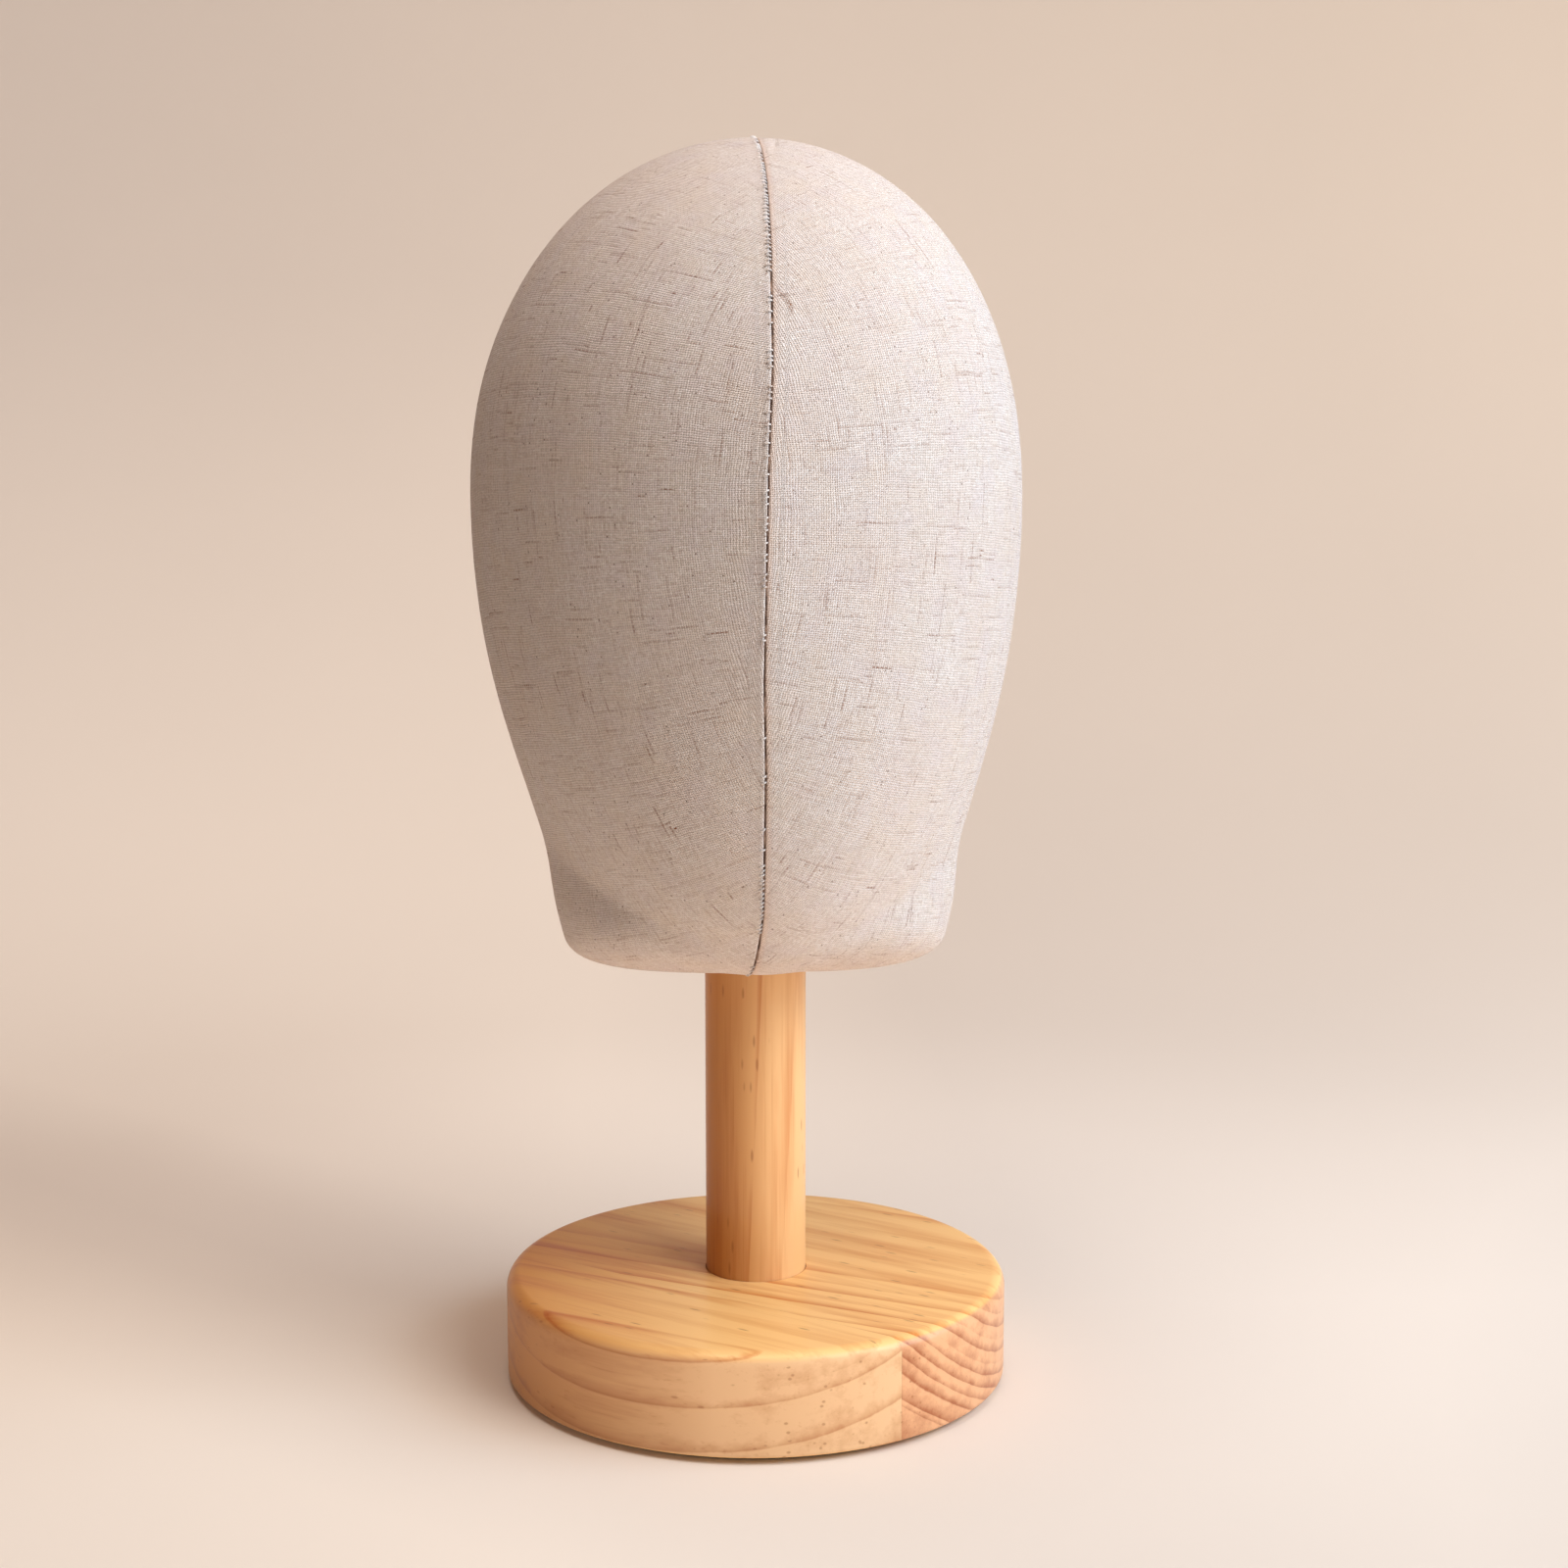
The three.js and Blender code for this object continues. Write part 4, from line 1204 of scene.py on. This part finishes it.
def paper_material(settings):
    """Seamless studio paper."""
    # Dead matt and even, with only a breath of cloudiness, and painted shade towards the right and the front
    made, add = new_material("seamless_paper")
    place = millimetres(add)
    x, y, z = add("SeparateXYZ", place).outputs
    tooth = add("TexNoise", place, Scale=1 / 1.5, Detail=2)
    cloud = add("MapRange", add("TexNoise", place, Scale=1 / 260, Detail=2), 0.3, 0.7, 0.98, 1.0)
    # Painted shade darkens the paper towards the right and the front
    for along, dim in ((x, PAPER_RIGHT), (y, PAPER_FRONT)):
        cloud = add("Math.MULTIPLY", cloud, add("MapRange", along, *dim))
    pale = add("Mix", 1, settings.backdrop, cloud, data_type="RGBA", blend_type="MULTIPLY")

    # Seen, the wall is as pale as the floor, but it throws less light back on the head
    seen = seen_share(add)
    wall = add("MapRange", z, *SHADE_HEIGHTS)
    dim = add("Math.MAXIMUM", wall, add("MapRange", x, *FLAGGED))
    thrown = add("Mix", dim, pale, settings.shade, data_type="RGBA")
    # Painted shade: seen near the side light, the paper is dimmed
    near_light = add("MapRange", add("VectorMath.DISTANCE", place, LIGHT_FOOT), *LIGHT_NEAR)
    dimmed = add("Mix", 1, pale, near_light, data_type="RGBA", blend_type="MULTIPLY")
    base = add("Mix", seen, thrown, dimmed, data_type="RGBA")

    # Seen, painted light brightens it at the right and beside the head's shadow; unseen, the floor glows up
    floor = add("Math.SUBTRACT", 1, wall)
    away = add("VectorMath.LENGTH", add("VectorMath.MULTIPLY", place, (1, 1, 0)))
    lift = add("Math.MULTIPLY", add("MapRange", x, *LIFT_ACROSS), add("MapRange", away, *LIFT_AWAY))
    slant, offset = SHADOW_BAND
    band = add("Math.ABSOLUTE", add("Math.ADD", add("Math.MULTIPLY_ADD", x, slant, y), offset))
    beside = add("Math.MULTIPLY", add("MapRange", band, *LIFT_BESIDE), add("MapRange", x, *LIFT_LEFT))
    lift = add("Math.MULTIPLY_ADD", beside, floor, lift)
    near = add("Math.MULTIPLY", floor, add("MapRange", away, *NEAR_FLOOR))
    near = add("Math.MULTIPLY", near, add("MapRange", away, *UNDER_BASE))
    glow = add("Mix", seen, settings.bounce, settings.lift, data_type="RGBA")
    extra = {"Emission Color": glow, "Emission Strength": add("Mix", seen, near, lift)}
    rough = add("MapRange", tooth, 0, 1, 0.95, 1)
    surface(add, base, rough, tooth, 0.02 * MM, extra | {"Specular IOR Level": 0.1})
    return made


def sweep(finish):
    """A round studio sweep: a floor that curves up into a wall on every side."""
    outline = [(0, 0), (FLOOR_RADIUS / 2, 0)]
    outline += arc((FLOOR_RADIUS, SWEEP_RADIUS), SWEEP_RADIUS, -90, 0, 40)
    outline += [(FLOOR_RADIUS + SWEEP_RADIUS, WALL_HEIGHT)]
    return from_bmesh(spun(outline[::-1], STAGE_SIDES, closed=False), "studio_sweep", finish, sharp=60)


def camera():
    """The camera at the photograph's place."""
    lens = bpy.data.cameras.new("camera")
    lens.lens = LENS
    lens.sensor_width = 36
    lens.clip_start = 0.02
    made = placed("camera", lens)
    made.location = CAMERA_PLACE
    made.rotation_euler = (math.radians(90 + CAMERA_PITCH), 0, math.radians(CAMERA_TURN))
    bpy.context.scene.camera = made


def soft_light(name, where, watts, tint):
    """A round soft light aimed at the head."""
    light = bpy.data.lights.new(name, "AREA")
    light.shape = "DISK"
    light.size = where["size"]
    light.energy = watts
    light.color = tint[:3]
    made = placed(name, light)
    side, rise = math.radians(where["side"]), math.radians(where["rise"])
    aim = Vector((0, 0, LOOK_AT_HEIGHT))
    ray = Vector((math.sin(side) * math.cos(rise), -math.cos(side) * math.cos(rise), math.sin(rise)))
    made.location = aim + ray * where["distance"]
    made.rotation_euler = ray.to_track_quat("Z", "Y").to_euler()
    made.visible_camera = False


def fill_light(settings):
    """Soft light from all around, and the paper's colour where the world itself is seen."""
    world = bpy.data.worlds.new("studio")
    world.use_nodes = True
    world.node_tree.nodes.clear()
    add = partial(node, world.node_tree)
    seen = seen_share(add)
    tint = add("Mix", seen, settings.fill_colour, settings.backdrop, data_type="RGBA")
    strength = add("MapRange", seen, 0, 1, settings.fill_strength, SEEN_STRENGTH)
    add("OutputWorld", Surface=add("Background", tint, strength))
    bpy.context.scene.world = world


# Operators


class DISPLAYHEAD_OT_stage(bpy.types.Operator):
    """Set up the camera, the paper sweep and the light"""

    bl_idname = "displayhead.stage"
    bl_label = "Stage"

    def execute(self, context):
        settings = context.scene.display_head.stage
        context.scene.view_settings.view_transform = "Standard"
        camera()
        sweep(paper_material(settings))
        soft_light("key_light", KEY_LIGHT, settings.key_power, settings.key_colour)
        soft_light("side_light", SIDE_LIGHT, settings.side_power, settings.side_colour)
        soft_light("top_light", TOP_LIGHT, settings.top_power, settings.top_colour)
        fill_light(settings)
        return {"FINISHED"}


class DISPLAYHEAD_OT_linen_cover(bpy.types.Operator):
    """Cover the head with its two panels of linen"""

    bl_idname = "displayhead.linen_cover"
    bl_label = "Linen cover"

    def execute(self, context):
        settings = context.scene.display_head.linen
        finish = linen_material(settings)
        for side, half in ((-1, "left"), (1, "right")):
            piece, flat, area = linen_panel(side, settings, finish)
            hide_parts(f"cover_{half}")
            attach(piece, "head")
        return {"FINISHED"}


class DISPLAYHEAD_OT_seam(bpy.types.Operator):
    """Sew the seam between the panels"""

    bl_idname = "displayhead.seam"
    bl_label = "Seam"

    def execute(self, context):
        settings = context.scene.display_head.linen
        brown = thread_material("brown_sewing_thread", settings.groove, linear("#b3937f"))
        groove = groove_thread(settings, brown)
        cream = thread_material("cream_sewing_thread", settings.pale, settings.warm)
        stitches = whip_stitches(settings, cream)
        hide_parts("seam_thread")
        for piece in (groove, stitches):
            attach(piece, "head")
        return {"FINISHED"}


class DISPLAYHEAD_OT_base(bpy.types.Operator):
    """Turn the base from its two boards, and lay the felt under it"""

    bl_idname = "displayhead.base"
    bl_label = "Base"

    def execute(self, context):
        settings = context.scene.display_head.stand
        front = base_board("pine_board_front", -1, front_board_material(settings))
        rear = base_board("pine_board_rear", 1, rear_board_material(settings))
        felt = felt_disc(felt_material())
        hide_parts("base_board_front")
        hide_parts("base_board_rear")
        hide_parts("base_felt")
        for piece, slot in ((front, "pine_base"), (rear, "pine_base"), (felt, "felt")):
            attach(piece, "stand")
        return {"FINISHED"}


class DISPLAYHEAD_OT_post(bpy.types.Operator):
    """Turn the post"""

    bl_idname = "displayhead.post"
    bl_label = "Post"

    def execute(self, context):
        piece = turned_post(post_material(context.scene.display_head.stand))
        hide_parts("post")
        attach(piece, "stand")
        return {"FINISHED"}


class DISPLAYHEAD_OT_inner_parts(bpy.types.Operator):
    """Finish the screws, plates, shells and the socket that the linen hides"""

    bl_idname = "displayhead.inner_parts"
    bl_label = "Inner parts"

    def execute(self, context):
        finishes = {
            "plywood": plywood_material(),
            "shell": laminate_material(),
            "tube": plastic_material("extruded_rigid_pvc_tube", "#8f8a80", "#7b766c", 0.42, 0.9),
            "nylon": plastic_material("turned_nylon", "#f0ece1", "#e2dccd", 0.38, 0.35),
            "steel": steel_material(),
        }
        slots = {part["node"]: part["material_slot"] for part in frame["record"]["subparts"]}
        for name, piece in frame["nodes"].items():
            finish = finishes.get(slots[name])
            if finish:
                piece.data.materials.clear()
                piece.data.materials.append(finish)
        return {"FINISHED"}


class DISPLAYHEAD_PT_pieces(bpy.types.Panel):
    """The display head's pieces and settings, in the 3D view's sidebar"""

    bl_idname = "DISPLAYHEAD_PT_pieces"
    bl_label = "Display Head"
    bl_space_type = "VIEW_3D"
    bl_region_type = "UI"
    bl_category = "Display Head"

    def draw(self, context):
        settings = context.scene.display_head
        for operator in OPERATORS:
            self.layout.operator(operator.bl_idname)
        for group in (settings.linen, settings.stand, settings.stage):
            box = self.layout.box()
            for name in group.__annotations__:
                box.prop(group, name)


OPERATORS = (
    DISPLAYHEAD_OT_stage,
    DISPLAYHEAD_OT_base,
    DISPLAYHEAD_OT_post,
    DISPLAYHEAD_OT_linen_cover,
    DISPLAYHEAD_OT_seam,
    DISPLAYHEAD_OT_inner_parts,
)
GROUPS = (LinenSettings, StandSettings, StageSettings, DisplayHeadSettings)


def register():
    """Register the settings, the operators and the panel."""
    for made in (*GROUPS, *OPERATORS, DISPLAYHEAD_PT_pieces):
        bpy.utils.register_class(made)
    bpy.types.Scene.display_head = PointerProperty(type=DisplayHeadSettings)


def unregister():
    """Take the settings, the operators and the panel away again."""
    del bpy.types.Scene.display_head
    for made in (DISPLAYHEAD_PT_pieces, *reversed(OPERATORS), *reversed(GROUPS)):
        bpy.utils.unregister_class(made)


def main():
    """Build the whole scene."""
    register()
    bpy.ops.displayhead.stage()
    bpy.ops.displayhead.base()
    bpy.ops.displayhead.post()
    bpy.ops.displayhead.linen_cover()
    bpy.ops.displayhead.seam()
    bpy.ops.displayhead.inner_parts()


if __name__ == "__main__":
    main()
